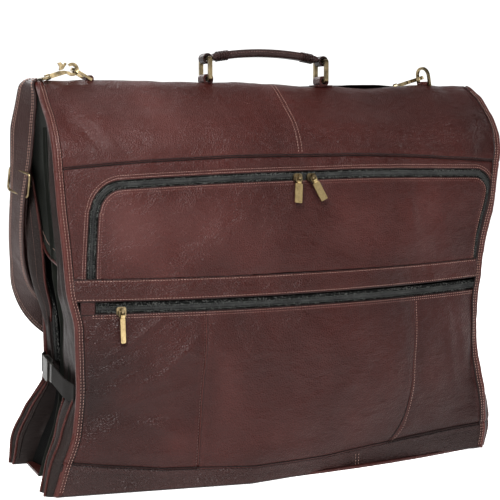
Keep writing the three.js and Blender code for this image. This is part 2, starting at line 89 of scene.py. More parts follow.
def make_studio():
    world = bpy.data.worlds.new("studio")
    bpy.context.scene.world = world
    world.use_nodes = True
    tree = world.node_tree
    sky = tree.nodes["Background"]
    sky.inputs["Strength"].default_value = 1.0
    ways = tree.nodes.new("ShaderNodeTexCoord")
    parts = tree.nodes.new("ShaderNodeSeparateXYZ")
    tree.links.new(ways.outputs["Generated"], parts.inputs[0])

    def fade(way, *limits):
        made = tree.nodes.new("ShaderNodeMapRange")
        made.interpolation_type = "SMOOTHSTEP"
        for name, value in zip(("From Min", "From Max", "To Min", "To Max"), limits):
            made.inputs[name].default_value = value
        tree.links.new(parts.outputs[way], made.inputs["Value"])
        return made

    # white behind the bag, dim on the camera's side and lighter again towards the horizon
    behind = fade("Y", 0.3, 0.8, 0.17, 1.0)
    horizon = fade("Z", 0.1, 0.42, 0.52, 0.08)
    tree.links.new(horizon.outputs[0], behind.inputs["To Min"])
    tree.links.new(behind.outputs[0], sky.inputs["Color"])
    bpy.context.scene.view_settings.view_transform = "Standard"
    bpy.context.scene.view_settings.look = "Medium High Contrast"
    area_light("key_light", (-0.85, -0.95, 1.35), (0.7, 0.6), 21)
    area_light("top_light", (-0.25, -0.8, 2.1), (1.0, 0.8), 18)
    area_light("front_light", (0.1, -2.6, 0.9), (0.8, 0.6), 12)
    area_light("side_light", (1.9, 0.1, 0.9), (0.6, 1.4), 9)
    area_light("back_light", (-0.6, 1.9, 1.7), (1.6, 1.0), 22)


# ---- shader helper -------------------------------------------------------------------------
class Shader:
    """A material whose nodes are added one by one; the last call is surface()."""

    def __init__(self, name):
        self.material = bpy.data.materials.new(name)
        self.material.use_nodes = True
        self.tree = self.material.node_tree
        self.tree.nodes.clear()
        self.output = self.tree.nodes.new("ShaderNodeOutputMaterial")

    def add(self, kind, out=0, settings=(), **inputs):
        made = self.tree.nodes.new("ShaderNode" + kind)
        for key, value in dict(settings).items():
            setattr(made, key, value)
        for key, value in inputs.items():
            self.plug(made.inputs[int(key[1:]) if key[1:].isdigit() else key.replace("_", " ")], value)
        return made.outputs[out]

    def plug(self, socket, value):
        if isinstance(value, bpy.types.NodeSocket):
            self.tree.links.new(value, socket)
        else:
            socket.default_value = value

    def math(self, operation, a, b=0.0, c=0.0):
        return self.add("Math", settings={"operation": operation}, i0=a, i1=b, i2=c)

    def mix(self, factor, a, b):
        return self.add("MixRGB", Fac=factor, Color1=a, Color2=b)

    def ramp(self, value, low, high, to_low=0.0, to_high=1.0):
        return self.add("MapRange", Value=value, From_Min=low, From_Max=high, To_Min=to_low,
                        To_Max=to_high)

    def noise(self, vector, scale, detail=3.0, rough=0.55, distort=0.0):
        return self.add("TexNoise", Vector=vector, Scale=scale, Detail=detail, Roughness=rough,
                        Distortion=distort)

    def bump(self, height, strength, distance, normal=None):
        inputs = {"Height": height, "Strength": strength, "Distance": distance}
        if normal is not None:
            inputs["Normal"] = normal
        return self.add("Bump", **inputs)

    def stretch(self, vector, factors):
        return self.add("Mapping", Vector=vector, Scale=factors)

    def surface(self, **inputs):
        shader = self.add("BsdfPrincipled", **inputs)
        self.tree.links.new(shader, self.output.inputs["Surface"])
        return self.material


def rgb(r, g, b):
    return (r, g, b, 1.0)


def toned(color, factor, lift=0.0):
    return tuple(factor * c + lift for c in color[:3]) + (1.0,)


def leather_material(name, deep, light, grain=1.0, rough=0.42):
    """Pebbled leather; a mesh attribute of wear and painted light makes it lighter (to 1: rubbed leather and
    painted highlights) or darker (to -1: painted shade).
    """
    s, deep, light = Shader(name), rgb(*deep), rgb(*light)
    place = s.add("TexCoord", out=2)
    cloud = s.noise(place, 6.0, 4.0, 0.6)
    tone = s.ramp(cloud, 0.3, 0.7)
    wobble = s.add("VectorMath", settings={"operation": "MULTIPLY_ADD"},
                   i0=s.add("TexNoise", out=1, Vector=place, Scale=120.0, Detail=2.0),
                   i1=(0.003, 0.003, 0.003), i2=place)
    pores = s.add("TexVoronoi", settings={"feature": "DISTANCE_TO_EDGE"}, Vector=wobble, Scale=330.0)
    pebble = s.ramp(pores, 0.0, 0.3)
    fine = s.noise(place, 1500.0, 2.0)
    creases = s.noise(s.stretch(place, (1.0, 1.9, 1.0)), 48.0, 3.0, 0.5, 0.25)
    shade = s.mix(tone, deep, light)
    shade = s.mix(s.ramp(pebble, 0.0, 0.7, 0.34, 0.0), shade, toned(deep, 0.35))
    wear_and_light = s.add("Attribute", out=2, settings={"attribute_name": "wear_and_painted_light"})
    # painted highlights and rubbed leather: lighter where the attribute is positive
    shade = s.mix(s.ramp(wear_and_light, 0.0, 1.0, 0.0, 0.5), shade, toned(light, 1.55, 0.022))
    # painted shade: darker where the attribute is negative
    shade = s.mix(s.ramp(wear_and_light, 0.0, -1.0, 0.0, 0.9), shade, toned(deep, 0.15))
    swells = s.noise(s.stretch(place, (1.0, 1.5, 1.0)), 17.0, 3.0, 0.5, 0.5)
    normal = s.bump(swells, 0.42 * grain, 0.012)
    normal = s.bump(creases, 0.40 * grain, 0.0026, normal)
    normal = s.bump(pebble, 0.60 * grain, 0.00060, normal)
    normal = s.bump(fine, 0.25, 0.00012, normal)
    gloss = s.ramp(s.noise(place, 30.0, 4.0), 0.3, 0.7, rough - 0.09, rough + 0.07)
    return s.surface(Base_Color=shade, Roughness=gloss, Normal=normal, Specular_IOR_Level=0.27)


def cloth_material(name, dark, light, scale, rough=0.9, slant=0.8, fleck=0.0):
    s, dark, light = Shader(name), rgb(*dark), rgb(*light)
    place = s.add("TexCoord", out=3)
    weave = s.add("TexWave", out=1, settings={"bands_direction": "DIAGONAL"},
                  Vector=s.stretch(place, (1.0, 1.0, 0.0)), Scale=scale, Distortion=0.6, Detail=2.0)
    across = s.add("TexWave", out=1, settings={"bands_direction": "Z"}, Vector=place,
                   Scale=scale * slant, Distortion=0.6, Detail=2.0)
    cross = s.math("MULTIPLY", weave, across)
    cloud = s.ramp(s.noise(place, 12.0, 4.0), 0.3, 0.7)
    shade = s.mix(s.math("MULTIPLY", cloud, 0.6), dark, light)
    shade = s.mix(s.ramp(cross, 0.0, 1.0, 0.5, 0.0), shade, toned(dark, 0.4))
    if fleck:
        specks = s.ramp(s.noise(place, 480.0, 1.0), 0.53, 0.63)
        shade = s.mix(specks, shade, rgb(fleck, fleck, 0.95 * fleck))
    folds = s.bump(s.noise(place, 25.0, 4.0, 0.6, 0.6), 0.35, 0.002)
    normal = s.bump(cross, 0.5, 0.0004, folds)
    return s.surface(Base_Color=shade, Roughness=rough, Normal=normal, Specular_IOR_Level=0.2)


def metal_material(name, dark, light, rough, patina=0.5):
    s, dark, light = Shader(name), rgb(*dark), rgb(*light)
    place = s.add("TexCoord", out=3)
    smudge = s.ramp(s.noise(place, 90.0, 5.0, 0.65), 0.35, 0.7)
    shade = s.mix(s.math("MULTIPLY", smudge, patina), light, dark)
    scratch = s.noise(s.stretch(place, (900.0, 900.0, 60.0)), 1.0, 3.0)
    gloss = s.ramp(smudge, 0.0, 1.0, rough, rough + 0.22)
    normal = s.bump(scratch, 0.10, 0.0001, s.bump(s.noise(place, 220.0, 3.0), 0.10, 0.0003))
    return s.surface(Base_Color=shade, Metallic=1.0, Roughness=gloss, Normal=normal)


def plastic_material(name, dark, light, rough=0.36):
    s, dark, light = Shader(name), rgb(*dark), rgb(*light)
    place = s.add("TexCoord", out=3)
    cloud = s.ramp(s.noise(place, 60.0, 4.0), 0.3, 0.7)
    pits = s.noise(place, 2600.0, 2.0)
    shade = s.mix(cloud, dark, light)
    return s.surface(Base_Color=shade, Roughness=s.ramp(cloud, 0.0, 1.0, rough, rough + 0.14),
                     Normal=s.bump(pits, 0.2, 0.00015))


def thread_material(name, dark, light):
    s, dark, light = Shader(name), rgb(*dark), rgb(*light)
    place = s.add("TexCoord", out=3)
    twist = s.add("TexWave", out=1, settings={"bands_direction": "DIAGONAL"}, Vector=place, Scale=900.0)
    shade = s.mix(s.noise(place, 300.0), dark, light)
    return s.surface(Base_Color=shade, Roughness=0.65, Normal=s.bump(twist, 0.4, 0.0002),
                     Sheen_Weight=0.2)


# each material's dark and light colour, then its own settings
LEATHER = leather_material("leather", (0.036, 0.0086, 0.0070), (0.066, 0.0172, 0.0142))
BAND_LEATHER = leather_material("band_leather", (0.040, 0.0100, 0.0080), (0.066, 0.0170, 0.0135), 1.1, 0.4)
# near-black leather for the painted shadow cords laid in seam grooves
SEAM_SHADOW_LEATHER = leather_material("seam_shadow_leather", (0.005, 0.0025, 0.0022), (0.009, 0.0045, 0.004), 0.6, 0.6)
FOOT_LEATHER = leather_material("foot_leather", (0.034, 0.0135, 0.0120), (0.060, 0.0270, 0.0245), 1.5)
STRAP_LEATHER = leather_material("strap_leather", (0.0155, 0.0062, 0.0052), (0.029, 0.0112, 0.0094), 0.9, 0.46)
PIPING_LEATHER = leather_material("piping_leather", (0.040, 0.0095, 0.0075), (0.070, 0.018, 0.014), 0.8, 0.38)
GUSSET_LEATHER = leather_material("gusset_leather", (0.010, 0.0058, 0.0050), (0.021, 0.0125, 0.0108), 0.7, 0.6)
LINING = cloth_material("lining_cloth", (0.013, 0.0145, 0.0118), (0.037, 0.040, 0.033), 900.0)
DARK_CLOTH = cloth_material("dark_cloth", (0.004, 0.004, 0.004), (0.009, 0.009, 0.0085), 700.0)
ZIP_CLOTH = cloth_material("zip_cloth", (0.004, 0.0045, 0.004), (0.011, 0.012, 0.011), 1100.0, fleck=0.09)
WEBBING = cloth_material("webbing_cloth", (0.014, 0.0125, 0.0115), (0.034, 0.031, 0.029), 520.0, 0.85, 0.5)
BRASS = metal_material("brass", (0.11, 0.075, 0.03), (0.62, 0.48, 0.26), 0.27, 0.7)
OLD_BRASS = metal_material("old_brass", (0.045, 0.034, 0.022), (0.34, 0.27, 0.16), 0.28, 0.9)
TEETH = plastic_material("zip_teeth", (0.004, 0.0042, 0.004), (0.040, 0.041, 0.039), 0.6)
PLASTIC = plastic_material("buckle_plastic", (0.018, 0.017, 0.015), (0.042, 0.040, 0.036))
THREAD = thread_material("tan_thread", (0.17, 0.090, 0.070), (0.40, 0.26, 0.215))
ZIP_THREAD = thread_material("grey_thread", (0.04, 0.045, 0.04), (0.12, 0.13, 0.115))
BROWN_THREAD = thread_material("brown_thread", (0.055, 0.022, 0.018), (0.13, 0.06, 0.05))
BOARD = plastic_material("fibreboard", (0.16, 0.10, 0.05), (0.25, 0.17, 0.10))


# ---- numbers, noise and curves -------------------------------------------------------------
# Shapes below are in millimetres: X from the handle's middle, Y from the ridge, Z from the floor.
ORIGIN = np.array([HANDLE_X, RIDGE_Y, 0.0]) * MM


def to_row(points):
    return np.asarray(points, float) * MM + ORIGIN


def smooth_rows(rows, at, column):
    """A column of the rows against their first one, on a smooth curve that never overshoots."""
    table = np.array(rows, float)
    knots, values = table[:, 0], table[:, column]
    gaps, rises = np.diff(knots), np.diff(values) / np.diff(knots)
    slopes = np.concatenate([[rises[0]], np.zeros(len(knots) - 2), [rises[-1]]])
    both = rises[:-1] * rises[1:] > 0
    weight = (gaps[:-1] + 2 * gaps[1:], 2 * gaps[:-1] + gaps[1:])
    with np.errstate(divide="ignore", invalid="ignore"):
        mean = (weight[0] + weight[1]) / (weight[1] / rises[:-1] + weight[0] / rises[1:])
    slopes[1:-1] = np.where(both, mean, 0.0)
    at = np.clip(np.asarray(at, float), knots[0], knots[-1])
    i = np.clip(np.searchsorted(knots, at) - 1, 0, len(gaps) - 1)
    t = (at - knots[i]) / gaps[i]
    return ((2 * t**3 - 3 * t**2 + 1) * values[i] + (t**3 - 2 * t**2 + t) * gaps[i] * slopes[i]
            + (3 * t**2 - 2 * t**3) * values[i + 1] + (t**3 - t**2) * gaps[i] * slopes[i + 1])


def mix(a, b, t):
    return a + (b - a) * t


def step_up(t, low, high):
    t = np.clip((np.asarray(t, float) - low) / (high - low), 0, 1)
    return t * t * (3 - 2 * t)


def noise2(x, y, seed=0):
    """Smooth noise from -1 to 1, the same on every run."""
    x, y = np.asarray(x, float), np.asarray(y, float)
    column, row = np.floor(x), np.floor(y)
    u, v = step_up(x - column, 0, 1), step_up(y - row, 0, 1)

    def corner(i, j):
        h = np.sin((column + i) * 127.1 + (row + j) * 311.7 + seed * 74.7) * 43758.5453
        return 2 * (h - np.floor(h)) - 1

    return mix(mix(corner(0, 0), corner(1, 0), u), mix(corner(0, 1), corner(1, 1), u), v)


def arc_lengths(points):
    return np.concatenate([[0], np.cumsum(np.linalg.norm(np.diff(points, axis=0), axis=1))])


def follow(at, along, points):
    """Points of a line at some distances along it, given each point's own distance."""
    return np.stack([np.interp(at, along, points[:, k]) for k in range(points.shape[1])], 1)


def spread(line, fractions):
    """Points of a line at fractions of its length."""
    along = arc_lengths(line)
    return follow(fractions * along[-1], along, line)


def resample(points, count):
    """Points evenly spaced along a smooth curve through the given ones."""
    points = np.asarray(points, float)
    n = len(points)
    padded = np.vstack([2 * points[0] - points[1], points, 2 * points[-1] - points[-2]])
    dense = []
    for i in range(n - 1):
        p0, p1, p2, p3 = padded[i : i + 4]
        t = np.linspace(0, 1, 24, endpoint=False)[:, None]
        dense.append(0.5 * (2 * p1 + (p2 - p0) * t + (2 * p0 - 5 * p1 + 4 * p2 - p3) * t**2
                            + (3 * p1 - p0 - 3 * p2 + p3) * t**3))
    dense = np.vstack(dense + [points[-1:]])
    along = arc_lengths(dense)
    return follow(np.linspace(0, along[-1], count), along, dense)


def line_through(route, count):
    """A smooth line of (x, z) through a few of them."""
    return resample(np.array([(x, 0, z) for x, z in route], float), count)[:, [0, 2]]


def upright(x, z):
    """A line of (x, z), where x may be one number."""
    return np.column_stack(np.broadcast_arrays(x, z))


def unit(vectors):
    return vectors / np.maximum(np.linalg.norm(vectors, axis=-1, keepdims=True), 1e-9)


# ---- mesh building -------------------------------------------------------------------------
def slanted_uv(points):
    """Texture places in metres that stretch no face which is square to an axis."""
    return np.stack([points[:, 0] + 0.5 * points[:, 1], points[:, 2] + 0.6 * points[:, 1]], 1)


def add_mesh(name, points, faces, material, slot, uv=None, wear_and_painted_light=None):
    """A mesh object from millimetre points and arrays of quads, triangles or other polygons."""
    mesh = bpy.data.meshes.new(name)
    points = np.ascontiguousarray(to_row(points).reshape(-1, 3), np.float32)
    faces = [np.asarray(f, np.int32) for f in faces if len(f)]
    mesh.vertices.add(len(points))
    mesh.vertices.foreach_set("co", points.ravel())
    loops = np.concatenate([f.ravel() for f in faces])
    mesh.loops.add(len(loops))
    mesh.loops.foreach_set("vertex_index", loops)
    sizes = np.concatenate([np.full(len(f), f.shape[1], np.int32) for f in faces])
    mesh.polygons.add(len(sizes))
    mesh.polygons.foreach_set("loop_start", np.concatenate([[0], np.cumsum(sizes)[:-1]]).astype(np.int32))
    mesh.polygons.foreach_set("use_smooth", np.ones(len(sizes), bool))
    mesh.update(calc_edges=True)
    mesh.validate()
    if uv is None:
        uv = slanted_uv(points)
    layer = mesh.uv_layers.new(name="UVMap")
    layer.data.foreach_set("uv", np.asarray(uv, np.float32).reshape(-1, 2)[loops].ravel())
    if wear_and_painted_light is not None:
        wear_and_light = mesh.attributes.new("wear_and_painted_light", "FLOAT", "POINT")
        wear_and_light.data.foreach_set("value", np.asarray(wear_and_painted_light, np.float32).ravel())
    mesh.materials.append(material)
    made = bpy.data.objects.new(name, mesh)
    bpy.context.scene.collection.objects.link(made)
    return made


def grid_faces(rows, columns, start=0, wrap=False, flip=False):
    i, j = np.meshgrid(np.arange(rows - 1), np.arange(columns if wrap else columns - 1), indexing="ij")
    k = (j + 1) % columns
    quads = np.stack([i * columns + j, i * columns + k, (i + 1) * columns + k, (i + 1) * columns + j], -1)
    quads = quads.reshape(-1, 4) + start
    return quads[:, ::-1] if flip else quads


def add_shell(name, outer, inner, material, slot, uv, wear_and_painted_light=None):
    """A closed sheet: an outer and an inner grid of points, joined round their border."""
    rows, columns = outer.shape[:2]
    count = rows * columns
    index = np.arange(count).reshape(rows, columns)
    border = np.concatenate([index[0, :-1], index[:-1, -1], index[-1, :0:-1], index[:0:-1, 0]])
    following = np.roll(border, -1)
    rim = np.stack([border, border + count, following + count, following], 1)
    middle = index[rows // 2, columns // 2]
    points = np.concatenate([outer.reshape(-1, 3), inner.reshape(-1, 3)])
    near = points[[middle, middle + 1, middle + columns, middle + count]]
    faces_out = np.dot(np.cross(near[1] - near[0], near[2] - near[0]), near[0] - near[3]) > 0
    faces = [grid_faces(rows, columns, 0, flip=not faces_out),
             grid_faces(rows, columns, count, flip=faces_out), rim if faces_out else rim[:, ::-1]]
    both = None if wear_and_painted_light is None else np.concatenate([wear_and_painted_light.ravel(), wear_and_painted_light.ravel()])
    return add_mesh(name, points, faces, material, slot, np.concatenate([uv.reshape(-1, 2)] * 2), both)


def frames_along(points, up=None):
    """Tangent, side and normal at each point of a line, turning as little as it can."""
    tangents = unit(np.gradient(points, axis=0))
    if up is not None:
        normals = unit(up - (up * tangents).sum(1, keepdims=True) * tangents)
        return tangents, np.cross(tangents, normals), normals
    start = np.eye(3)[np.argmin(np.abs(tangents[0]))]
    normals = [unit(start - start @ tangents[0] * tangents[0])]
    for t in tangents[1:]:
        normals.append(unit(normals[-1] - normals[-1] @ t * t))
    normals = np.array(normals)
    return tangents, np.cross(tangents, normals), normals


def sweep(points, section, up=None, scale=None, closed=False):
    """Points and faces of a section (side, normal pairs) carried along a line."""
    count, sides = len(points), len(section)
    tangents, side, normal = frames_along(points, up)
    if closed:
        tangents = unit(np.roll(points, -1, 0) - np.roll(points, 1, 0))
        side = unit(np.cross(tangents, up))
        normal = np.cross(side, tangents)
    scale = np.ones(count) if scale is None else np.asarray(scale, float)
    scale = scale.reshape(count, 1, -1)
    ring = section[None, :, :] * scale
    made = points[:, None] + ring[..., :1] * side[:, None] + ring[..., 1:2] * normal[:, None]
    if closed:
        quads = grid_faces(count, sides, wrap=True)
        first = np.arange(sides)
        following, end = (first + 1) % sides, (count - 1) * sides
        last = np.stack([first + end, following + end, following, first], 1)
        return made.reshape(-1, 3), [np.concatenate([quads, last])]
    caps = np.stack([np.arange(sides)[::-1], np.arange(sides) + (count - 1) * sides])
    return made.reshape(-1, 3), [grid_faces(count, sides, wrap=True), caps]


def circle(radius, sides=12):
    turn = np.arange(sides) * 2 * math.pi / sides
    return np.stack([radius * np.cos(turn), radius * np.sin(turn)], 1)


def rounded_section(width, height, radius, corner=4):
    """A rounded rectangle about the origin, anticlockwise."""
    points = []
    for k, (sx, sy) in enumerate([(1, 1), (-1, 1), (-1, -1), (1, -1)]):
        turn = math.pi / 2 * k + np.linspace(0, math.pi / 2, corner)
        points.append(np.stack([sx * (width / 2 - radius) + radius * np.cos(turn),
                                sy * (height / 2 - radius) + radius * np.sin(turn)], 1))
    return np.concatenate(points)


def merge(parts):
    """Several (points, faces) as one."""
    points, faces, start = [], [], 0
    for p, fs in parts:
        points.append(p)
        faces += [np.asarray(f) + start for f in fs]
        start += len(p)
    return np.concatenate(points), faces


def rounded_ends(points, radius, steps=4):
    """Widths that round off a tube's two ends, and the points with those steps added."""
    t = np.linspace(0, math.pi / 2, steps + 1)[:-1]
    along = arc_lengths(points)
    where = np.concatenate([radius * (1 - np.cos(t)), np.linspace(radius, along[-1] - radius, len(points)),
                            along[-1] - radius * (1 - np.cos(t[::-1]))])
    end = np.maximum(np.sin(t), 0.05)
    width = np.concatenate([end, np.ones(len(points)), end[::-1]])
    return follow(where, along, points), width


def stamp(template, faces, centres, x_axes, y_axes, z_axes):
    """Copies of a small shape, one at each centre."""
    x, y, z = [template[None, :, k : k + 1] for k in range(3)]
    placed = centres[:, None] + x * x_axes[:, None] + y * y_axes[:, None] + z * z_axes[:, None]
    steps = np.arange(len(centres)) * len(template)
    copied = [(np.asarray(f)[None] + steps[:, None, None]).reshape(-1, len(f[0])) for f in faces]
    return placed.reshape(-1, 3), copied


def stitch_row(points, normals, pitch=3.7, length=2.7, radius=0.42):
    """One row of sewn thread lying on a line of a surface, with the normals or the one normal there."""
    normals = np.broadcast_to(normals, points.shape)
    along = arc_lengths(points)
    count = int(along[-1] / pitch)
    middle = (np.arange(count) + 0.5) * along[-1] / count
    centre = follow(middle, along, points)
    tangent = unit(follow(middle + 0.5, along, points) - follow(middle - 0.5, along, points))
    normal = unit(follow(middle, along, normals))
    side = unit(np.cross(tangent, normal))
    normal = np.cross(side, tangent)
    tangent = unit(tangent + 0.10 * side)
    rings = [circle(radius * w, 5) for w in (0.45, 1.0, 1.0, 0.45)]
    lift = (-0.10, 0.25, 0.25, -0.10)
    template = np.concatenate([np.column_stack([np.full(5, t * length), ring[:, 0], ring[:, 1] + h])
                               for t, ring, h in zip((-0.5, -0.28, 0.28, 0.5), rings, lift)])
    faces = [grid_faces(4, 5, wrap=True), np.array([[4, 3, 2, 1, 0], [15, 16, 17, 18, 19]])]
    return stamp(template, faces, centre, tangent, side, normal)


SIDES = {-1: "left", 1: "right"}


# ---- the bag's two faces -------------------------------------------------------------------
# the ends against height: left and right
ENDS = [(0, -329, 267), (30, -320, 273), (76, -304, 269), (138, -298, 262), (197, -298, 263),
        (245, -307, 271), (292, -310, 281), (353, -315, 295), (408, -317, 306), (442, -317, 313),
        (470, -317, 318), (494, -315, 316)]
# each face from the ridge down: depth at the ends, extra depth at mid width, height
FRONT_ROWS = [(0, 0, 494), (-14, 0, 490), (-34, 0, 478), (-60, -2, 458), (-80, -4, 442), (-97, -6, 420),
              (-106, -8, 391), (-113, -14, 325), (-118, -22, 260), (-120, -28, 220), (-125, -36, 150),
              (-130, -36, 60), (-131, -35, 0)]
BACK_ROWS = [(0, 0, 494), (14, 0, 490), (34, 0, 478), (60, 2, 458), (62, 12, 440), (50, 32, 391),
             (42, 36, 330), (38, 34, 260), (36, 30, 210), (34, 27, 170), (32, 26, 143), (36, 28, 110),
             (48, 22, 70), (66, 14, 30), (60, 20, 0)]


def end_x(side, z):
    return smooth_rows(ENDS, z, 1 if side < 0 else 2)


class Face:
    """A leather face of the bag, given by how far across (-1 to 1) and how far down from the ridge."""

    def __init__(self, rows, out, relief):
        table = np.array(rows, float)
        drop = np.concatenate([[0], np.cumsum(np.hypot(np.diff(table[:, 0]), np.diff(table[:, 2])))])
        self.rows = np.column_stack([drop, table])
        self.out = out
        self.relief = relief
        self.fine_drop = np.linspace(0, drop[-1], 1200)
        self.fine_z = smooth_rows(self.rows, self.fine_drop, 3)

    def drop_at(self, z):
        return np.interp(-np.asarray(z, float), -self.fine_z, self.fine_drop)

    def across_at(self, x, z):
        low, high = end_x(-1, z), end_x(1, z)
        return (2 * x - low - high) / (high - low)

    def bare(self, across, drop):
        z = smooth_rows(self.rows, drop, 3)
        bulge = np.clip(1 - across**2, 0, 1)
        if self.out < 0:     # the foot of the front sags most on its left
            skew = np.interp(across, [-1, -0.21, 0.27, 0.65, 0.83, 1], [0, 1.05, 0.52, 0.25, 0.05, 0])
            bulge = mix(bulge, skew, 1 - step_up(z, 0, 120))
        y = smooth_rows(self.rows, drop, 1) + smooth_rows(self.rows, drop, 2) * bulge
        x = mix(end_x(-1, z), end_x(1, z), (across + 1) / 2)
        return np.stack([x, y, z], -1)

    def normal(self, across, drop):
        a, d = 0.004, 1.5
        sideways = self.bare(across + a, drop) - self.bare(across - a, drop)
        low, high = np.minimum(drop + d, self.rows[-1, 0]), np.maximum(drop - d, 0)
        down = self.bare(across, low) - self.bare(across, high)
        return unit(np.cross(down, sideways)) * -self.out

    def on(self, across, drop, lift=0.0):
        """Points on the creased face, lifted off it by a distance."""
        across, drop = np.broadcast_arrays(np.asarray(across, float), np.asarray(drop, float))
        bare = self.bare(across, drop)
        height = self.relief(bare[..., 0], bare[..., 2]) + lift
        return bare + self.normal(across, drop) * np.asarray(height)[..., None]

    def at(self, x, z, lift=0.0):
        x, z = np.broadcast_arrays(np.asarray(x, float), np.asarray(z, float))
        return self.on(self.across_at(x, z), self.drop_at(z), lift)

    def normal_at(self, x, z):
        x, z = np.broadcast_arrays(np.asarray(x, float), np.asarray(z, float))
        return self.normal(self.across_at(x, z), self.drop_at(z))


def distance_to(path, x, z):
    """Distance from each (x, z) to a line of points."""
    best = np.full(np.shape(x), 1e9)
    for (x0, z0), (x1, z1) in zip(path[:-1], path[1:]):
        dx, dz = x1 - x0, z1 - z0
        t = np.clip(((x - x0) * dx + (z - z0) * dz) / (dx * dx + dz * dz + 1e-9), 0, 1)
        best = np.minimum(best, np.hypot(x - x0 - t * dx, z - z0 - t * dz))
    return best


def fold(x, z, start, end, width, height):
    """A soft crease standing up along a line."""
    dx, dz = end[0] - start[0], end[1] - start[1]
    t = ((x - start[0]) * dx + (z - start[1]) * dz) / (dx * dx + dz * dz)
    away = np.hypot(x - start[0] - t * dx, z - start[1] - t * dz)
    inside = step_up(t, -0.1, 0.3) * (1 - step_up(t, 0.6, 1.15))
    return height * np.exp(-((away / width) ** 2)) * inside


def front_relief(x, z):
    """How far the creases of the front leather stand off its smooth shape."""
    soft = (3.4 * noise2(x / 120, z / 95, 1) + 1.9 * noise2(x / 52, z / 60, 2)
            + 0.6 * noise2(x / 21, z / 26, 3))
    soft = soft + 0.16 * noise2(x / 8, z / 9, 4)
    hung = step_up(x, 60, 200) * step_up(z, 30, 120) * (1 - 0.85 * step_up(z, 330, 410))   # upright folds
    soft = soft + hung * (2.2 * noise2(x / 26 + z / 160, z / 190, 5)
                          + 0.8 * noise2(x / 12 + z / 110, z / 120, 6))
    corner = step_up(x, 190, 300) * step_up(z, 395, 470)      # the puckered top right corner
    soft = soft + corner * 0.9 * noise2((x - z) / 13, (x + z) / 60, 7)
    for start, end, width, height in FRONT_FOLDS:
        soft = soft + fold(x, z, start, end, width, 1.35 * height)
    for inset in (x - end_x(-1, z), end_x(1, z) - x):           # small puckers along the sewn ends
        soft = soft + 0.5 * np.exp(-np.clip(inset, 0, None) / 15) * noise2(z / 8.5, inset / 40, 8)
    for seam in (yoke_seam(x), lower_zip_line(x) - 8, band_top(x) + 4, upper_zip_top(x)):
        soft = soft + 0.55 * np.exp(-np.abs(z - seam) / 12) * noise2(x / 8, z / 40, 9)
    for seam, width, depth in ((yoke_seam(x) - 1.6, 1.6, 1.4), (foot_seam(x) + 1.6, 1.8, 1.9)):
        groove, roll = np.exp(-(((z - seam) / width) ** 2)), np.exp(-(((z - seam - 14) / 11) ** 2))
        soft = soft - depth * groove + 0.5 * depth * roll
    return soft * step_up(z, 2, 40)


# creases of the lower left panel and of the yoke's left end
FRONT_FOLDS = [((-296, 132), (-210, 168), 9, 2.6), ((-300, 118), (-175, 138), 10, 2.2),
               ((-292, 165), (-235, 205), 8, 1.8), ((-215, 126), (-140, 190), 8, 1.9),
               ((-300, 96), (-200, 92), 14, -2.4), ((-285, 60), (-235, 110), 13, 2.0),
               ((-300, 455), (-262, 408), 13, -3.4), ((-280, 470), (-240, 430), 16, 2.0),
               ((276, 150), (262, 40), 8, 3.0), ((268, 190), (246, 100), 9, -1.8),
               ((283, 240), (268, 170), 6, 1.6), ((296, 455), (250, 430), 8, 2.2),
               ((300, 430), (262, 392), 9, -1.8), ((-285, 150), (-200, 205), 4, 1.6),
               ((-270, 128), (-160, 170), 4.5, 1.5), ((-252, 108), (-150, 128), 4.5, 1.5),
               ((-243, 172), (-190, 214), 3.5, 1.3), ((-292, 172), (-262, 214), 4, 1.5),
               ((-228, 92), (-165, 58), 6, 1.6), ((-200, 138), (-150, 190), 4, 1.2),
               ((-290, 440), (-262, 398), 4.5, 1.5), ((-272, 446), (-236, 402), 5, 1.2)]


def back_relief(x, z):
    soft = (2.4 * noise2(x / 130, z / 100, 11) + 1.2 * noise2(x / 55, z / 60, 12)
            + 0.5 * noise2(x / 22, z / 26, 13))
    soft = soft + 0.15 * noise2(x / 8, z / 9, 14)
    foot = 1 - step_up(z, 40, 150)
    return (soft + foot * 2.0 * noise2(x / 24, z / 120, 15)) * step_up(z, 2, 40)


FRONT = Face(FRONT_ROWS, -1, front_relief)
BACK = Face(BACK_ROWS, 1, back_relief)


def fold_with(piece):
    """The piece's transform is baked into its points; nothing ties it to the spine or to a half."""
    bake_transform(piece)


def height_line(low_x, high_x, height, count=240):
    """A seam running across the bag at one height, or at a height that is a function of x."""
    x = np.linspace(low_x, high_x, count)
    return upright(x, height(x) if callable(height) else np.full(count, float(height)))


def edge_line(side, low, high, inset, count=160):
    """A line up one end of a face, inset from its edge."""
    z = np.linspace(high, low, count)
    return upright(end_x(side, z) - side * inset, z)


def offset_line(line, distance):
    """A line of (x, z) moved sideways, to its left as it runs."""
    tangent = unit(np.gradient(line, axis=0))
    return line + distance * np.column_stack([-tangent[:, 1], tangent[:, 0]])


def spaced(length, step):
    """Steps across a sheet, close together at both edges for their rounding."""
    rim = np.array([0, 0.35, 0.9, 1.7, 3.0])
    middle = np.linspace(rim[-1], length - rim[-1], max(2, int((length - 6) / step)))[1:-1]
    return np.concatenate([rim, middle, length - rim[::-1]]) / length


# wide painted highlights and painted shade on the leather, as lighter and darker patches: middle, reach,
# amount
PAINTED_LIGHT_SPOTS = [(-185, 450, 100, 42, 0.60), (-190, 322, 75, 38, 0.50), (-270, 120, 85, 80, -0.50)]
RIM = 1.7                     # radius of a panel's rolled edge


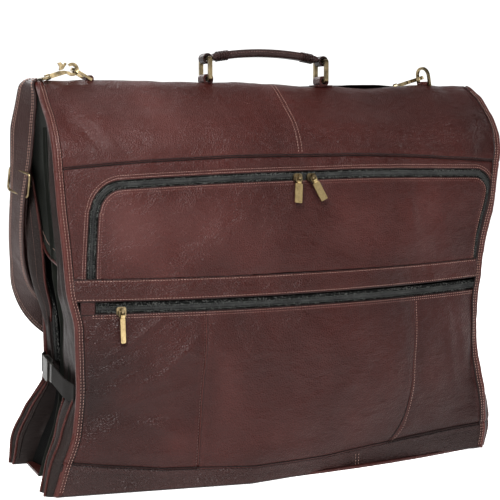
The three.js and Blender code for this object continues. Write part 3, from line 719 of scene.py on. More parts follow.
def painted_light_and_wear(border, x, z):
    """Painted shade in the seam at a panel's border and darker within some 13 mm of it, a painted highlight
    with rubbing just inside it, real mottling elsewhere, and painted light over the face: lighter patches at
    the upper left, darker towards the right, lower down and at the lower left.
    """
    # painted shade in the seam's groove
    seam = 1 - step_up(border, 0.4, 1.5)
    # painted highlight along the rolled edge, with rubbing
    rubbed_and_lit = step_up(border, 1.2, 2.6) * (1 - step_up(border, 4.0, 9.0))
    mottled = 0.40 * np.clip(noise2(x / 60, z / 60, 31), 0, 1) ** 1.5
    mottled = mottled - 0.12 * np.clip(noise2(x / 90, z / 70, 32), 0, 1)
    # painted shade: darker towards the right, most in the yoke's and the lower pocket's rows, and darker below
    # the band's top
    shaded_rows = np.maximum(step_up(z, 380, 410), 1 - step_up(z, 215, 262))    # yoke and lower pocket
    tone = -0.38 * step_up(x, 40, 250) * (0.45 + 0.55 * shaded_rows) - 0.15 * (1 - step_up(z, 250, 262))
    # painted highlights and painted shade in wide patches
    for at_x, at_z, reach_x, reach_z, amount in PAINTED_LIGHT_SPOTS:
        tone = tone + amount * np.exp(-(((x - at_x) / reach_x) ** 2) - ((z - at_z) / reach_z) ** 2)
    # painted shade near every border, fading over some 13 mm
    return 0.25 * rubbed_and_lit - 0.95 * seam - 0.30 * np.exp(-border / 13) + mottled + tone


def leather_sheet(name, face, x, z, border, lift, thick, material, puff, reach, rim=RIM):
    """A padded panel over (x, z) on a face, given how far each point is from the panel's border."""
    inset = np.clip(rim - border, 0, rim)
    rolled = rim - np.sqrt(rim**2 - inset**2)
    rise = np.minimum(border / reach, 1)
    swell = puff * rise * (2 - rise)
    outer = face.at(x, z, lift - 0.8 * rolled + swell)
    inner = face.at(x, z, lift - thick + 0.35 * rolled + swell)
    uv = np.stack([x, -face.drop_at(z)], -1) * MM
    return add_shell(name, outer, inner, material, "leather", uv, painted_light_and_wear(border, x, z))


def panel(name, face, line_a, line_b, lift, thick, material, step=3.2, rim=RIM, puff=0.0):
    """A leather panel on a face between two lines of (x, z), with rolled edges."""
    length = arc_lengths(line_a)[-1]
    across = spaced(max(length, arc_lengths(line_b)[-1]), step)
    depth = np.linalg.norm(line_a - line_b, axis=1)
    down = spaced(max(float(np.median(depth)), 8.0), step)
    a, b = spread(line_a, across), spread(line_b, across)
    grid = mix(a[None], b[None], down[:, None, None])
    row_length = np.linalg.norm(a - b, axis=1)[None, :]
    border = np.minimum(np.minimum(down, 1 - down)[:, None] * row_length,
                        (np.minimum(across, 1 - across) * length)[None, :])
    return leather_sheet(name, face, grid[..., 0], grid[..., 1], border, lift, thick, material, puff, 30, rim)


def attach(piece, body=None):
    """The piece rides on a body, or has its transform baked into its points where no body is named."""
    if body:
        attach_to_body(piece, body)
    else:
        fold_with(piece)
    return piece


def seam_stitches(name, rows, material, body, face, pitch=3.7, lift=2.2, radius=0.42):
    """Rows of stitches along lines of (x, z) on a face, all one piece."""
    parts = [stitch_row(face.at(*r.T, lift), face.normal_at(*r.T), pitch, 0.62 * pitch, 0.95 * radius)
             for r in rows]
    return attach(add_mesh(name, *merge(parts), material, "leather"), body)


def cord_piece(name, line, radius, material, body):
    """A round leather cord along a line, riding on a body."""
    made = add_mesh(name, *sweep(line, circle(radius, 8)), material, "leather")
    if body:
        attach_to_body(made, body)
    return made


# ---- seams of the front, as heights against x ------------------------------------------------
def yoke_seam(x):
    return 403 - 14 * ((x - 20) / 332) ** 2


def band_top(x):
    return 256.5 + 0.0075 * x + 5e-5 * x**2


def band_foot(x):
    return 229.5 + 0.01 * x + 5e-5 * x**2


def lower_zip_line(x):
    return 221.3 + 0.006 * x + 3.5e-5 * x**2


def foot_seam(x):
    return np.interp(x, [-330, -200, -90, 20, 115, 280], [42, 26, 21, 21, 28, 35])


def foot_edge(x):
    """The front's lower edge, gathered into shallow scallops towards the right."""
    gathered = step_up(x, 60, 150)
    return 0.6 + gathered * (0.2 + 1.4 * np.abs(np.sin(x / 17 + 0.6 * np.sin(x / 31))) ** 1.5)


def upper_zip_top(x):
    return 378.4 - 8.0 * ((x - 120) / 334) ** 2


BINDING = 9.0                 # width of the leather binding down each end
ZIP_HALF = 5.0                # from a zip's middle to the leather on either side


def upper_zip_path(count=420):
    """The upper pocket's zip: up the left, across the top and down the right."""
    left, right, radius = -277.0, 286.0, 36.0
    up = [(np.interp(z, [262, 346], [-279, left + 5]), z) for z in np.linspace(band_top(-279) - 4, 338, 12)]
    cx = left + 5 + radius
    turn = np.radians(np.linspace(180, 90, 12))[1:]
    top_left = upper_zip_top(cx) - radius
    arc = [(cx + radius * math.cos(t), top_left + radius * math.sin(t)) for t in turn]
    across = [(x, upper_zip_top(x)) for x in np.linspace(cx + 14, right - 34, 22)]
    small = 24.0
    cx = right - small
    turn = np.radians(np.linspace(80, 0, 9))
    arc_right = [(cx + small * math.cos(t), upper_zip_top(cx) - small + small * math.sin(t)) for t in turn]
    down = [(end_x(1, z) - 8.5, z) for z in np.linspace(338, band_top(262) - 4, 10)]
    return line_through(up + arc + across + arc_right + down, count)


# one tooth of a coil zip: its outline across the tape, at both of its sides
TOOTH_OUTLINE = [(-2.3, 0.0), (-2.1, 0.85), (-0.9, 1.25), (0.9, 1.25), (2.1, 0.85), (2.3, 0.0)]
TOOTH = np.array([(x, y, z) for x in (-0.42, 0.42) for y, z in TOOTH_OUTLINE])
TOOTH_FACES = [np.array([(i, (i + 1) % 6, (i + 1) % 6 + 6, i + 6) for i in range(6)]),
               np.array([[5, 4, 3, 2, 1, 0], [6, 7, 8, 9, 10, 11]])]
TOOTH_OFFSET = 0.9            # how far the two rows of teeth stand to either side of the zip's middle


def zip_teeth(line, face, lift):
    """Two interleaved rows of coil teeth along a line of (x, z)."""
    points, normals = face.at(*line.T, lift), face.normal_at(*line.T)
    along = arc_lengths(points)
    pitch = 2.1
    at = np.arange(pitch, along[-1] - pitch, pitch / 2)
    centre = follow(at, along, points)
    normal = unit(follow(at, along, normals))
    tangent = unit(np.gradient(centre, axis=0))
    side = unit(np.cross(tangent, normal))
    alternate = np.where(np.arange(len(at)) % 2 == 0, 1.0, -1.0)[:, None]
    return stamp(TOOTH, TOOTH_FACES, centre + side * alternate * TOOTH_OFFSET, tangent, side, normal)


def zip_run(name, line):
    """A zip of the front, named as its CAD node: woven tape, teeth and the thread that holds them."""
    half = 7.5
    tape = panel(name + "_tape", FRONT, offset_line(line, half), offset_line(line, -half), 0.5, 1.0,
                 ZIP_CLOTH, 3.0, 0.5)
    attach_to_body(tape, "front_half")
    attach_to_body(add_mesh(name + "_teeth", *zip_teeth(line, FRONT, 0.5), TEETH, "zip_tape"), "front_half")
    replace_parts(tape, name)
    cord = [stitch_row(FRONT.at(*r.T, 0.6), FRONT.normal_at(*r.T), 2.4, 1.7, 0.3)
            for r in (offset_line(line, 3.0), offset_line(line, -3.0))]
    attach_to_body(add_mesh(name + "_coil_thread", *merge(cord), ZIP_THREAD, "zip_tape"), "front_half")


# ---- front of the bag ------------------------------------------------------------------------
def yoke(word, face, step):
    """The leather over the fold on one face, down to the yoke's seam."""
    low = height_line(end_x(-1, 389) + 1, end_x(1, 393) - 1, yoke_seam)
    made = panel(f"{word}_yoke", face, height_line(-313, 314, 494), low, 3.1, 2.2, LEATHER, step, 1.9)
    fold_with(made)
    return made


def front_yoke():
    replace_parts(yoke("front", FRONT, 3.4), "spine_cover")
    z = np.linspace(491, yoke_seam(2) + 3, 120)
    x = 1 + 5 * step_up(z, 391, 494)
    rows = [upright(x - 2.4, z), upright(x + 2.4, z)]
    seam_stitches("yoke_centre_stitches", rows, THREAD, None, FRONT, 3.9, 3.2)
    # painted shadow along the yoke's seam
    fold_with(seam_shadow_cord("yoke_seam_shadow", lambda x: yoke_seam(x) - 1.3, -308, 304, 3.1))
    fold_with(seam_cord("yoke_centre_seam", upright(x, z), 2.3, 0.9, BAND_LEATHER))


def seam_shadow_cord(name, height, low_x, high_x, lift):
    """A painted shadow: a thin near-black cord in the groove where one panel is turned under along a long
    seam.
    """
    return seam_cord(name, height_line(low_x, high_x, height, 200), lift, 0.5, SEAM_SHADOW_LEATHER)


def seam_cord(name, line, lift, radius, material):
    """A thin ridge of leather where two panels of the front are sewn together."""
    made = sweep(FRONT.at(*line.T, lift), circle(radius, 8), FRONT.normal_at(*line.T))
    return add_mesh(name, *made, material, "leather")


def upper_pocket():
    line = upper_zip_path()
    zip_run("upper_zip", line)
    # leather inside the zip
    inside = offset_line(line, -ZIP_HALF)
    half = len(inside) // 2
    left, right = inside[:half], inside[::-1][:half]
    left, right = [np.vstack([[edge[0][0], band_top(edge[0][0]) - 3], edge]) for edge in (left, right)]
    pocket = crossing_panel("upper_pocket_panel", left, right, 2.2, 2.0, 3.0, 2.6)
    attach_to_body(pocket, "front_half")
    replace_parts(pocket, "upper_pocket")
    # leather outside the zip, up to the binding and the yoke
    outside = offset_line(line, ZIP_HALF)
    outside[:, 0] = np.minimum(outside[:, 0], end_x(1, outside[:, 1]) - BINDING - 0.5)
    n = len(outside)
    corner_left = int(np.argmin(np.abs(outside[:, 0] + 262) + 1e3 * (outside[:, 1] < 300)))
    corner_right = n - 1 - int(np.argmin(np.abs(outside[::-1, 0] - 278) + 1e3 * (outside[::-1, 1] < 300)))
    seam_left, seam_right = end_x(-1, 388) + BINDING - 2, end_x(1, 392) - BINDING + 2
    left_run = edge_line(-1, outside[0, 1], yoke_seam(seam_left) + 4, BINDING - 2, corner_left)[::-1]
    top_x = np.linspace(seam_left, seam_right, corner_right - corner_left + 2)[1:-1]
    top_run = upright(top_x, yoke_seam(top_x) + 4)
    right_run = edge_line(1, outside[-1, 1], yoke_seam(seam_right) + 4, BINDING - 2, n - corner_right - 1)
    border = np.vstack([left_run, top_run, right_run])
    border = border[np.round(np.linspace(0, len(border) - 1, n)).astype(int)]
    around = panel("upper_pocket_surround", FRONT, outside, border, 2.2, 2.0, LEATHER, 3.0)
    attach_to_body(around, "front_half")
    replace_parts(around, "front_cover")
    rows = [offset_line(line, d) for d in (ZIP_HALF + 2.4, ZIP_HALF + 5.6, -ZIP_HALF - 2.4, -ZIP_HALF - 5.6)]
    for row in rows:
        row[:, 0] = np.minimum(row[:, 0], end_x(1, row[:, 1]) - 5)
    seam_stitches("upper_zip_stitches", rows, THREAD, "front_half", FRONT, 3.1, 2.35, 0.36)


def crossing_panel(name, left, right, lift, thick, step, puff):
    """A panel of the front between a line up its left and a line up its right, which meet at the top."""
    a, b = left[::-1], right[::-1]
    down = spaced(arc_lengths(a)[-1], step)
    across = spaced(float(np.max(np.linalg.norm(a - b, axis=1))), step)
    grid = mix(spread(a, down)[:, None], spread(b, down)[:, None], across[None, :, None])
    x, z = grid[..., 0], grid[..., 1]
    outline = np.vstack([left, right[::-1]])
    border = np.minimum(distance_to(outline[::3], x, z), np.maximum(z - (band_top(x) - 3), 0))
    return leather_sheet(name, FRONT, x, z, border, lift, thick, LEATHER, puff, 40)


def centre_band():
    left, right = end_x(-1, 244) + BINDING - 3, end_x(1, 248) - BINDING + 3
    band = panel("front_band", FRONT, height_line(left, right, band_top), height_line(left, right, band_foot),
                 4.0, 2.2, BAND_LEATHER, 3.0, 1.9, 0.5)
    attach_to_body(band, "front_half")
    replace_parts(band, "centre_band")
    rows = [height_line(left + 4, right - 4, lambda x: band_top(x) - 3.0),
            height_line(left + 4, right - 4, lambda x: band_foot(x) + 3.0)]
    seam_stitches("band_stitches", rows, THREAD, "front_half", FRONT, 3.6, 4.1, 0.42)


def lower_front():
    left, right = end_x(-1, 220) + BINDING + 16, end_x(1, 222) - 3
    zip_line = height_line(left, right, lower_zip_line)
    zip_run("lower_zip", zip_line)
    left_edge, right_edge = end_x(-1, 210) + BINDING - 3, end_x(1, 210) - BINDING + 3
    # a short piece of leather closes the zip at its left end
    above = height_line(left_edge, left + 2, lambda x: band_foot(x) + 2)
    below = height_line(left_edge, left + 2, lambda x: lower_zip_line(x) - ZIP_HALF - 3)
    stop = panel("lower_zip_stop", FRONT, above, below, 3.0, 2.0, LEATHER, 3.0)
    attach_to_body(stop, "front_half")
    seams = {"left": ([(-141, 214), (-144, 170), (-150, 120), (-155, 60), (-158, 20)]),
             "right": ([(156, 216), (153, 175), (148, 131), (143, 90), (135, 55), (124, 38), (108, 24)])}
    lines = {label: line_through(route, 160) for label, route in seams.items()}
    low = {-1: edge_line(-1, 38, 214, BINDING - 3), 1: edge_line(1, 30, 216, BINDING - 3)}
    pieces = [("lower_left_panel", low[-1], lines["left"], 2.3, 1.5),
              ("lower_middle_panel", lines["left"], lines["right"], 2.8, 2.0),
              ("lower_right_panel", lines["right"], low[1], 2.3, 1.5)]
    for piece in pieces:
        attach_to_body(lower_panel(*piece), "front_half")
    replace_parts(bpy.data.objects["lower_middle_panel"], "lower_pocket")
    for label, line in lines.items():
        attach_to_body(seam_cord(f"lower_seam_{label}", line, 1.5, 1.5, BAND_LEATHER), "front_half")
    rows = [height_line(left_edge + 14, right_edge - 3, lambda x: lower_zip_line(x) - ZIP_HALF - inset)
            for inset in (2.6, 5.6)]
    seam_stitches("lower_zip_stitches", rows, THREAD, "front_half", FRONT, 3.3, 2.9, 0.36)
    for name, line, thread, pitch, lift in (
            ("lower_side_stitches", offset_line(lines["right"], 2.6), THREAD, 3.4, 2.6),
            ("lower_left_stitches", offset_line(lines["left"], -2.4), BROWN_THREAD, 3.6, 3.0)):
        seam_stitches(name, [line[4:-4]], thread, "front_half", FRONT, pitch, lift, 0.4)


def lower_panel(name, a, b, lift, puff):
    """A panel of the lower pocket, from the zip down to the bottom band's seam."""
    across = spaced(float(np.max(np.linalg.norm(a - b, axis=1))), 3.0)
    down = spaced(190.0, 3.0)
    a, b = spread(a, down), spread(b, down)
    x = mix(a[:, None, 0], b[:, None, 0], across[None])
    z = mix(lower_zip_line(x) - ZIP_HALF, foot_seam(x) - 4, down[:, None] * np.ones_like(x))
    width = np.linalg.norm(a - b, axis=1)[:, None]
    border = np.minimum(np.minimum(down, 1 - down)[:, None] * 185,
                        np.minimum(across, 1 - across)[None] * width)
    return leather_sheet(name, FRONT, x, z, border, lift, 2.0, LEATHER, puff, 35)


def bottom_band():
    left, right = end_x(-1, 20) + 2, end_x(1, 20) - 2
    top = height_line(left, right, foot_seam)
    band = panel("front_foot_band", FRONT, top, height_line(left - 6, right - 1, foot_edge), 3.4, 2.4,
                 FOOT_LEATHER, 3.0, 1.9, 0.8)
    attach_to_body(band, "front_half")
    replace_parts(band, "bottom_band")
    # painted shadow along the bottom band's seam
    painted_foot_shadow = seam_shadow_cord("foot_seam_shadow", lambda x: foot_seam(x) + 1.3, left + 6, right - 6, 3.9)
    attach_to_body(painted_foot_shadow, "front_half")
    rows = [upright(x, np.linspace(3, 19, 20)) for x in (62.0, 66.5)]
    seam_stitches("foot_band_stitches", rows, THREAD, "front_half", FRONT, 3.6, 4.0)


def bindings(word, face, count, insets, pitch, wear_and_painted_light=None):
    """The binding and the piping down both ends of a face, with their stitches."""
    for side, label in SIDES.items():
        z = np.concatenate([np.linspace(492, 60, count), np.linspace(58, 1.5, 40)])
        edge = end_x(side, z)
        strip = panel(f"{word}_binding_{label}", face, upright(edge - side * BINDING, z),
                      upright(edge - side * 0.2, z), 4.0, 1.8, PIPING_LEATHER, 3.0, 1.6)
        fold_with(strip)
        made, faces = sweep(face.at(edge - side * 1.0, z, 1.2), circle(3.4, 12), face.normal_at(edge, z))
        rubbed_and_lit = None if wear_and_painted_light is None else np.full(len(made), wear_and_painted_light)
        piping = add_mesh(f"{word}_piping_{label}", made, faces, PIPING_LEATHER, "leather", wear_and_painted_light=rubbed_and_lit)
        fold_with(piping)
        rows = [upright(edge - side * inset, z)[4:-3] for inset in insets]
        seam_stitches(f"{word}_binding_stitches_{label}", rows, THREAD, None, face, pitch, 4.1, 0.4)


# ---- ends of the bag -------------------------------------------------------------------------
# where each half's end wall stops on the inside: height and depth from the ridge
FRONT_INNER = [(0, -93), (60, -82), (100, -60), (131, -46), (155, -46), (183, -54), (220, -68),
               (261, -82), (300, -94), (391, -89), (440, -66), (472, -28)]
BACK_INNER = [(0, 30), (50, 24), (100, 8), (131, 4), (159, 8), (216, 22), (263, 34), (300, 38), (391, 42),
              (472, 28)]
CINCH_Z = 131
SIDE_THREAD = dict(pitch=3.6, radius=0.36)


def outward(side, distance):
    """A step out of the bag's left or right end."""
    return np.array([side * distance, 0, 0])


def edge_y(face, side, z):
    return face.at(end_x(side, z), z)[..., 1]


def pleated_end(word, side, face, inner, pleats, bulge, flare):
    """The end wall of one half: smooth above the cinch strap, pinched there and pleated below."""
    label, body = SIDES[side], f"{word}_half"
    z = np.concatenate([np.linspace(470, 190, 90), np.linspace(188, 0.8, 110)])
    u = spaced(70.0, 1.5)
    zz, uu = np.meshgrid(z, u, indexing="ij")
    y = mix(edge_y(face, side, z)[:, None], smooth_rows(inner, z, 1)[:, None], uu)
    arch = np.sin(math.pi * uu)
    low = 1 - step_up(zz, 20, CINCH_Z + 4)
    pinch = np.exp(-((zz - CINCH_Z) / 26) ** 2)
    wave = np.abs(np.sin(math.pi * pleats * uu + 0.35 * np.sin(zz / 60))) ** 0.75
    pleat = low * (10.5 * wave - 3.0)
    flared = (1 - step_up(zz, 70, 128)) * (0.45 + 0.55 * step_up(zz, -5, 60)) * arch ** 0.45
    soft = bulge * arch * step_up(zz, CINCH_Z, 250) * (1 - step_up(zz, 360, 470))
    crease = 1.6 * noise2(zz / 60 + uu * 2, uu * 5, 21) + 0.7 * noise2(zz / 22, uu * 9, 22)
    hidden = 13 * step_up(uu, 0.86, 1.0) + 3 * (1 - step_up(uu, 0.0, 0.07))
    away = soft + pleat + flare * flared - 5 * pinch * arch + crease * arch - hidden
    outer = np.stack([end_x(side, zz) + side * (away - 1.0), y, zz], -1)
    wear_and_painted_light = 0.35 * np.clip(wave - 0.6, 0, 1) * low + 0.1
    wall = add_shell(f"{word}_end_{label}", outer, outer - outward(side, 1.8), GUSSET_LEATHER, "lining",
                     np.stack([y, zz], -1) * MM, wear_and_painted_light)
    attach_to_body(wall, body)
    # a leather cord along the fold of each pleat
    rows = []
    for k in range(pleats):
        column = int(np.argmin(np.abs(u - (k + 0.5) / pleats)))
        line = outer[z < CINCH_Z - 8, column] + outward(side, 0.8)
        rows.append(sweep(resample(line, 60), circle(1.7, 8)))
    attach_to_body(add_mesh(f"{word}_end_pleat_cords_{label}", *merge(rows), PIPING_LEATHER, "leather"), body)
    # and one along the wall's inner edge
    column = int(np.argmin(np.abs(u - 0.9)))
    line = resample(outer[6:-4, column] + outward(side, 0.6), 120)
    cord_piece(f"{word}_end_edge_cord_{label}", line, 1.5, GUSSET_LEATHER, body)
    return wall


def inner_flap(side):
    """The dark zipped opening seen between the halves at an end."""
    label = SIDES[side]
    z = np.linspace(430, 2, 120)
    zz, uu = np.meshgrid(z, spaced(60.0, 2.0), indexing="ij")
    y = mix(smooth_rows(BACK_INNER, z, 1)[:, None] + 2, smooth_rows(FRONT_INNER, z, 1)[:, None] - 6, uu)
    depth = 11 + 8 * uu + 6 * np.sin(math.pi * uu) + 2.0 * noise2(uu * 3, zz / 35, 24)
    outer = np.stack([end_x(side, zz) - side * depth, y, zz], -1)
    wall = add_shell(f"compartment_flap_{label}", outer, outer - outward(side, 1.2), DARK_CLOTH, "lining",
                     np.stack([y, zz], -1) * MM)
    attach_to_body(wall, "back_half")
    z = np.linspace(300, 140, 150)
    line = np.stack([end_x(side, z) - side * 6.5, smooth_rows(BACK_INNER, z, 1) - 5, z], 1)
    along = arc_lengths(line)
    at = np.arange(1, along[-1] - 1, 1.1)
    centre = follow(at, along, line)
    tangent = unit(np.gradient(centre, axis=0))
    facing = np.array([side * 1.0, -0.25, 0.0])
    normal = unit(facing - (facing * tangent).sum(1, keepdims=True) * tangent)
    across = np.cross(tangent, normal)
    alternate = np.where(np.arange(len(at)) % 2, TOOTH_OFFSET, -TOOTH_OFFSET)[:, None]
    teeth = stamp(TOOTH, TOOTH_FACES, centre + across * alternate, tangent, across, normal)
    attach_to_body(add_mesh(f"compartment_teeth_{label}", *teeth, TEETH, "zip_tape"), "back_half")
    tape = sweep(resample(line - outward(side, 1.0), 80), rounded_section(15, 1.2, 0.5, 2), facing)
    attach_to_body(add_mesh(f"compartment_tape_{label}", *tape, ZIP_CLOTH, "zip_tape"), "back_half")


def back_lip(side):
    """The lip of the back half's gusset, which stands open beside the compartment's zip."""
    label = SIDES[side]
    z = np.linspace(392, 176, 110)
    zz, uu = np.meshgrid(z, spaced(46.0, 1.6), indexing="ij")
    open_by = np.sin(math.pi * np.clip((zz - 176) / 216, 0, 1)) ** 0.6
    away = 15.5 * open_by * np.sin(math.pi * uu) ** 0.7 - 1.5 - 3.5 * uu
    away = away + 0.9 * noise2(zz / 30, uu * 3, 27) * np.sin(math.pi * uu)
    y = edge_y(BACK, side, z)[:, None] - 1.5 - (5 + 25 * open_by) * uu
    outer = np.stack([end_x(side, zz) + side * away, y, zz], -1)
    lip = add_shell(f"back_lip_{label}", outer, outer - outward(side, 1.6), GUSSET_LEATHER, "leather",
                    np.stack([y, zz], -1) * MM, np.zeros_like(zz))
    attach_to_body(lip, "back_half")
    edge = resample(outer[2:-2, -2] + outward(side, 0.5), 100)
    cord_piece(f"back_lip_cord_{label}", edge, 1.6, PIPING_LEATHER, "back_half")
    row = resample(outer[3:-3, -8] + outward(side, 0.3), 100)
    thread = stitch_row(row, outward(side, 1.0), length=2.3, **SIDE_THREAD)
    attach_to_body(add_mesh(f"back_lip_stitches_{label}", *thread, BROWN_THREAD, "leather"), "back_half")


def end_web(side):
    """The cloth web that closes the top of an end, between the two halves under the fold."""
    label = SIDES[side]
    n = 60
    t = np.linspace(0, 1, n)
    foot = [(-112, 266), (-58, 271), (-8, 278), (17, 293), (37, 316), (52, 345), (58, 380)]
    foot = resample(np.array([(0, y, z) for y, z in foot], float), n)[:, 1:]
    top = np.column_stack([np.linspace(-33, 33, n), 476 + 9 * np.sin(math.pi * t)])
    z = np.linspace(476, 266, n)
    front = np.column_stack([edge_y(FRONT, side, z) + 3, z])
    z = np.linspace(476, 380, n)
    back = np.column_stack([edge_y(BACK, side, z) - 3, z])
    u, v = t[None, :, None], t[:, None, None]
    grid = ((1 - v) * top[None] + v * foot[None] + (1 - u) * front[:, None] + u * back[:, None]
            - (1 - u) * (1 - v) * top[0] - u * (1 - v) * top[-1] - (1 - u) * v * foot[0] - u * v * foot[-1])
    y, zz = grid[..., 0], grid[..., 1]
    uu, vv = np.broadcast_arrays(t[None, :], t[:, None])
    sag = 9 * np.sin(math.pi * uu) * np.sin(math.pi * (0.15 + 0.85 * vv) * 0.9)
    ripple = 1.8 * noise2(uu * 2.5 + vv, vv * 3, 25) + 0.7 * noise2(uu * 6, vv * 7, 26)
    x = end_x(side, zz) - side * (2.5 + sag - ripple * np.sin(math.pi * uu))
    outer = np.stack([x, y, zz], -1)
    web = add_shell(f"end_web_{label}", outer, outer - outward(side, 1.2), LINING, "lining",
                    np.stack([y, zz], -1) * MM)
    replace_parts(web, f"spine_gusset_{label}", f"front_gusset_{label}")
    hem_line = resample(outer[-1, 2:] + np.array([side * 0.5, 0, -0.6]), 90)
    hem = cord_piece(f"end_web_cord_{label}", hem_line, 1.7, PIPING_LEATHER, None)
    row = resample(outer[-5, 2:] + outward(side, 0.3), 90)
    thread = add_mesh(f"end_web_stitches_{label}",
                      *stitch_row(row, outward(side, 1.0), length=2.6, **SIDE_THREAD), THREAD, "leather")
    for piece in (web, hem, thread):
        fold_with(piece)


def bag_ends():
    for side, label in SIDES.items():
        pleated_end("front", side, FRONT, FRONT_INNER, 2, 7.0, 9.0)
        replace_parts(pleated_end("back", side, BACK, BACK_INNER, 3, 4.0, 19.0), f"back_gusset_{label}")
        inner_flap(side)
        back_lip(side)
        end_web(side)


# ---- back of the bag -------------------------------------------------------------------------
def back_side():
    yoke("back", BACK, 3.6)
    middle = upright(2.0, np.linspace(407, 24, 200))
    edges = {side: edge_line(side, 30, 407, BINDING - 3, 200) for side in SIDES}
    left = panel("back_panel_left", BACK, edges[-1], middle, 2.2, 2.0, LEATHER, 3.6, 1.8, 1.8)
    right = panel("back_panel_right", BACK, middle, edges[1], 2.2, 2.0, LEATHER, 3.6, 1.8, 1.8)
    foot_left, foot_right = end_x(-1, 20) + 2, end_x(1, 20) - 2
    foot = panel("back_foot_band", BACK, height_line(foot_left, foot_right, 34),
                 height_line(foot_left - 6, foot_right - 1, 0.6), 3.4, 2.4, LEATHER, 3.2, 1.9, 0.8)
    for piece in (left, right, foot):
        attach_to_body(piece, "back_half")
    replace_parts(left, "back_cover")
    rows = [upright(2 + d, np.linspace(398, 38, 150)) for d in (-3.0, 3.0)]
    rows.append(height_line(foot_left + 8, foot_right - 8, 30.5))
    seam_stitches("back_stitches", rows, THREAD, "back_half", BACK, 3.7, 3.6, 0.42)
    row = height_line(end_x(-1, 392) + 10, end_x(1, 395) - 10, lambda x: yoke_seam(x) + 3.4)
    seam_stitches("back_yoke_stitches", [row], THREAD, None, BACK, 3.7, 3.4, 0.42)
    bindings("back", BACK, 240, (BINDING - 2.0,), 3.7)


# ---- shoulder strap --------------------------------------------------------------------------
# It leaves the left hook, hangs behind the back half and climbs to the right hook: places, and the
# direction of its width at each of them. The second to the ninth place are up to 5.7 mm from the CAD
# strap's, which has to clear a stiff gusset there.
STRAP_ROUTE = [((-312.5, 0, 498), (0, -1, 0)), ((-318.5, 1, 495.5), (0.1, -1, 0)),
               ((-322, 3, 487), (0.35, -0.93, 0)), ((-323.5, 8, 467), (0.5, -0.86, 0)),
               ((-327.5, 12, 436), (0.63, -0.77, 0)), ((-329, 18, 397), (0.52, -0.86, 0)),
               ((-331.5, 27, 353), (0.27, -0.96, 0)), ((-331.5, 40, 305), (0.24, -0.97, 0)),
               ((-326, 58, 262), (0.22, -0.97, 0.1)), ((-314, 76, 222), (0.35, -0.8, 0.4)),
               ((-284, 90, 184), (0.5, -0.35, 0.75)), ((-240, 94, 157), (0.38, 0, 0.95)),
               ((-180, 92, 141), (0.2, 0, 1)), ((-100, 91, 133), (0, 0, 1)),
               ((-10, 91, 143), (-0.25, 0, 1)), ((65, 89, 180), (-0.6, 0, 0.8)),
               ((112, 90, 240), (-0.85, 0, 0.5)), ((140, 93, 310), (-0.95, 0, 0.3)),
               ((157, 92, 380), (-0.98, 0, 0.2)), ((168, 84, 430), (-0.98, 0.05, 0.1)),
               ((175, 70, 454), (-0.95, -0.15, 0.15)), ((181, 55, 466), (-0.9, -0.3, 0.2)),
               ((189, 43.5, 476), (-0.8, -0.5, 0.25)), ((201, 33.5, 488), (-0.6, -0.75, 0.2))]
STRAP_WIDTH, STRAP_THICK = 38.0, 3.2


def strap_frame(count):
    """The strap's middle line, its width direction, its outward normal and the distance along it."""
    places, widths = [np.array(column, float) for column in zip(*STRAP_ROUTE)]
    line, dense = resample(places, count), resample(places, 2000)
    knots = arc_lengths(dense)
    where = [knots[int(np.argmin(np.linalg.norm(dense - p, axis=1)))] for p in places]
    along = arc_lengths(line)
    wide = follow(along, where, widths)
    tangent = unit(np.gradient(line, axis=0))
    wide = unit(wide - (wide * tangent).sum(1, keepdims=True) * tangent)
    return line, wide, unit(np.cross(tangent, wide)), along


def shoulder_strap():
    line, wide, normal, along = strap_frame(420)
    section = rounded_section(STRAP_WIDTH, STRAP_THICK, 1.3, 4)
    points, faces = sweep(line, section, normal)
    sides = len(section)
    uv = np.stack([np.tile(arc_lengths(section), len(line)), np.repeat(along, sides)], 1) * MM
    wear_and_painted_light = np.tile(0.6 * (np.abs(section[:, 0]) > STRAP_WIDTH / 2 - 2.4), len(line))
    strap = add_mesh("shoulder_strap", points, faces, STRAP_LEATHER, "leather", uv, wear_and_painted_light)
    fold_with(strap)
    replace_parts(strap, "strap_left_end", "strap_main", "strap_right_end")
    rows = [stitch_row(line + wide * d + normal * s * (STRAP_THICK / 2), normal * s, 3.8, 2.8, 0.45)
            for d in (-15.2, -12.4, 12.4, 15.2) for s in (-1, 1)]
    thread = add_mesh("strap_stitches", *merge(rows), THREAD, "leather")
    fold_with(thread)
    buckle, keeper = strap_slider(line, wide, normal, along)


def strap_slider(line, wide, normal, along):
    """The bronze slider that sets the strap's length, and the doubled strap above it."""
    i = int(np.argmin(np.abs(along - 137)))
    tangent = unit(line[i + 1] - line[i - 1])
    half_wide, half_long, wire = 22.5, 15.0, 1.7
    corner = rounded_section(2 * half_wide, 2 * half_long, 5.0, 6)
    frame_line = line[i] + corner[:, :1] * wide[i] + corner[:, 1:] * tangent
    points, faces = sweep(frame_line, circle(wire, 10), normal[i], closed=True)
    bar = line[i] + np.linspace(-half_wide, half_wide, 12)[:, None] * wide[i] - normal[i] * 2.2
    parts = merge([(points, faces), sweep(bar, circle(1.6, 10), normal[i])])
    buckle = add_mesh("strap_slider", *parts, OLD_BRASS, "antique_brass")
    fold_with(buckle)
    low = int(np.argmin(np.abs(along - 300)))
    path = resample(line[i - 3 : low] - normal[i - 3 : low] * (STRAP_THICK + 0.3), 90)
    up = resample(normal[i - 3 : low], 90)
    points, faces = sweep(path, rounded_section(STRAP_WIDTH - 0.6, STRAP_THICK - 0.4, 1.1, 3), up)
    keeper = add_mesh("strap_return", points, faces, STRAP_LEATHER, "leather")
    fold_with(keeper)
    return buckle, keeper


